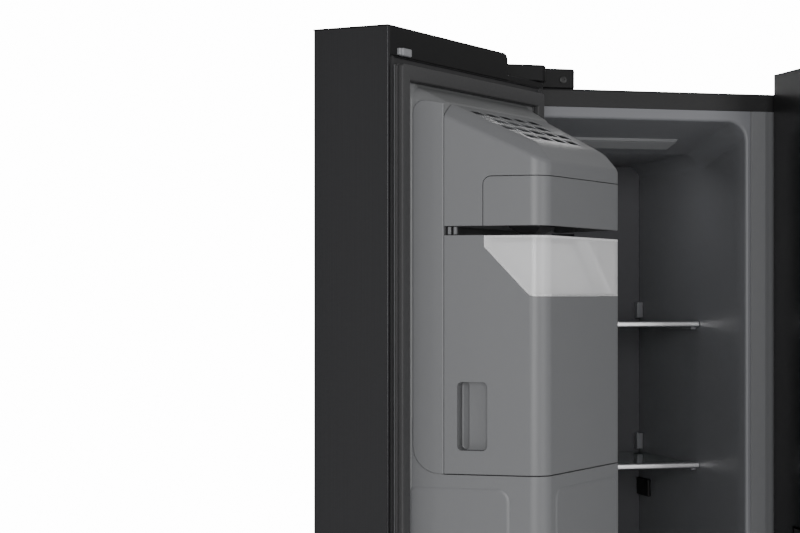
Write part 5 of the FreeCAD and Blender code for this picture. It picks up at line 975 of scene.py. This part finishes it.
# Lamp covers: ribbed diffusers snapped into the sloping ceilings, moulded milky with fine ribs across.
# Unlit, they are the liners' grey and a little glossier, so the ribs show as fine bright lines.
LAMP_STYRENE = made_of("ribbed_lamp_styrene", moulded, ("#77787a", "#7d7e80"), 0.35, 1.0, 0.1)
RIBS, RIB_DROP, LAMP_NEAR = 9, 1.3, 78.0
lamps = []
lamp_low, lamp_high = corners_of("lamp_covers")
for cold, (left, right, back) in SIDES.items():
    place = np.linspace(0, 1, 4 * RIBS + 1)
    depth = LAMP_NEAR + (lamp_high[1] - 2 - LAMP_NEAR) * place
    fall = (lamp_high[2] - lamp_low[2] - 5) / (lamp_high[1] - lamp_low[1])
    ceiling = lamp_high[2] - fall * (depth - lamp_low[1])
    thick = 0.4 + 2.8 * np.clip(10 * np.minimum(place, 1 - place), 0, 1)
    rib = RIB_DROP * (0.5 - 0.5 * np.cos(2 * math.pi * RIBS * place))
    section = np.vstack([np.column_stack([depth, ceiling - thick - rib]),
                         np.column_stack([depth, ceiling - 0.2])[::-1]])
    ends = [(left + 61, 0.3), (left + 61.6, 0.75), (left + 64, 1)]
    ends += [(right - 64, 1), (right - 61.6, 0.75), (right - 61, 0.3)]
    upper = np.concatenate([ceiling - 0.2, ceiling[::-1] - 0.2])
    rings = np.stack([np.column_stack([np.full(len(section), x), section[:, 0],
                                       upper + (section[:, 1] - upper) * share]) for x, share in ends])
    lamps.append(surface(rings))
fit(shape("ceiling_lamp_covers", *lamps), "cabinet", LAMP_STYRENE, "lamp_white", "lamp_covers")
LAMP_WATTS = 0.1
for cold, (left, right, back) in SIDES.items():
    soft_box(cold + "_lamp", ((left + right) / 2000, 0.12, lamp_low[2] / 1000 - 0.012),
             (math.radians(20), 0, 0), ((right - left - 140) / 1000, 0.05), LAMP_WATTS)


# Fixtures on the freezer's right wall: shelf catches in the back corner and the cover of the air sensor.
left, right, back = SIDES["freezer"]
catches = shape("freezer_shelf_catches", *[
    block((right - 9, back - 16, shelf + 6), (right + 1, back, shelf + 30), 2, 1.5)
    for shelf in TOP_SHELF - SHELF_PITCH * np.arange(SHELF_COUNT - 1)])
fit(catches, "cabinet", LINER_STYRENE, "liner_grey")
sensor = shape("air_sensor_cover", block((right - 5, 337, 1181), (right + 0.8, back - 2, 1207), 2, 1.5))
fit(sensor, "cabinet", BLACK_ABS, "black_plastic")


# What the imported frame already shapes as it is: panels, grips, dispenser, base and machinery. Each gets
# the finish of its real material.

# To the eye: the duct panels are dull and dark, acrylic a deep mirror, galvanised sheet a pale spangle,
# enamel a fine orange peel, zinc a soft grey shine, fan plastic chalky, and nylon dark and waxy.
PANEL_STYRENE = made_of("moulded_duct_styrene", moulded, ("#48484c", "#4e4e52"), 0.5, 1.5, 0.1)
GLOSS_BLACK = made_of("glossy_black_acrylic", moulded, ("#0c0c0d", "#101011"), 0.12, 4.0, 0.02)
GALVANISED = made_of("galvanised_sheet_steel", coated_steel, ("#8d9093", "#7d8084"), 8.0, 0.1)
BLACK_ENAMEL = made_of("black_enamelled_steel", coated_steel, ("#151516", "#1a1a1b"), 2.0, 0.15)
ZINC = made_of("zinc_plated_steel", anodised, ("#9d9fa3", "#b0b2b5"), 0.4)
FAN_PLASTIC = made_of("glass_filled_fan_plastic", moulded, ("#8f9092", "#989a9c"), 0.5, 1.5, 0.2)
ROLLER_NYLON = made_of("turned_nylon", moulded, ("#26262a", "#2d2d31"), 0.45, 2.0, 0.1)
FINISHES = {
    PANEL_STYRENE: ("freezer_back_panel", "fridge_back_panel"),
    BLACK_ABS: ("freezer_door_handle", "fridge_door_handle", "kick_grille", "cord_gland", "ice_chute"),
    GLOSS_BLACK: ("dispenser_panel", "dispenser_lever", "drip_tray"),
    GALVANISED: ("back_panel", "base_frame", "machine_cover"),
    ZINC: ("levelling_feet", "bottom_hinges", "evaporator", "ice_auger"),
    BLACK_ENAMEL: ("compressor", "condenser", "top_hinges"),
    FOAM: ("cabinet_insulation",),
    FAN_PLASTIC: ("freezer_fan", "condenser_fan", "fan_motors", "drain_pan", "water_valve", "ice_tray",
                  "ice_maker_frame"),
    ROLLER_NYLON: ("front_rollers", "rear_rollers"),
}
for finish, nodes in FINISHES.items():
    for name in nodes:
        kept = frame["nodes"][name]
        kept.data.materials.clear()
        kept.data.materials.append(finish)

boxes = {"cad": cad_box, "visual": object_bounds()}
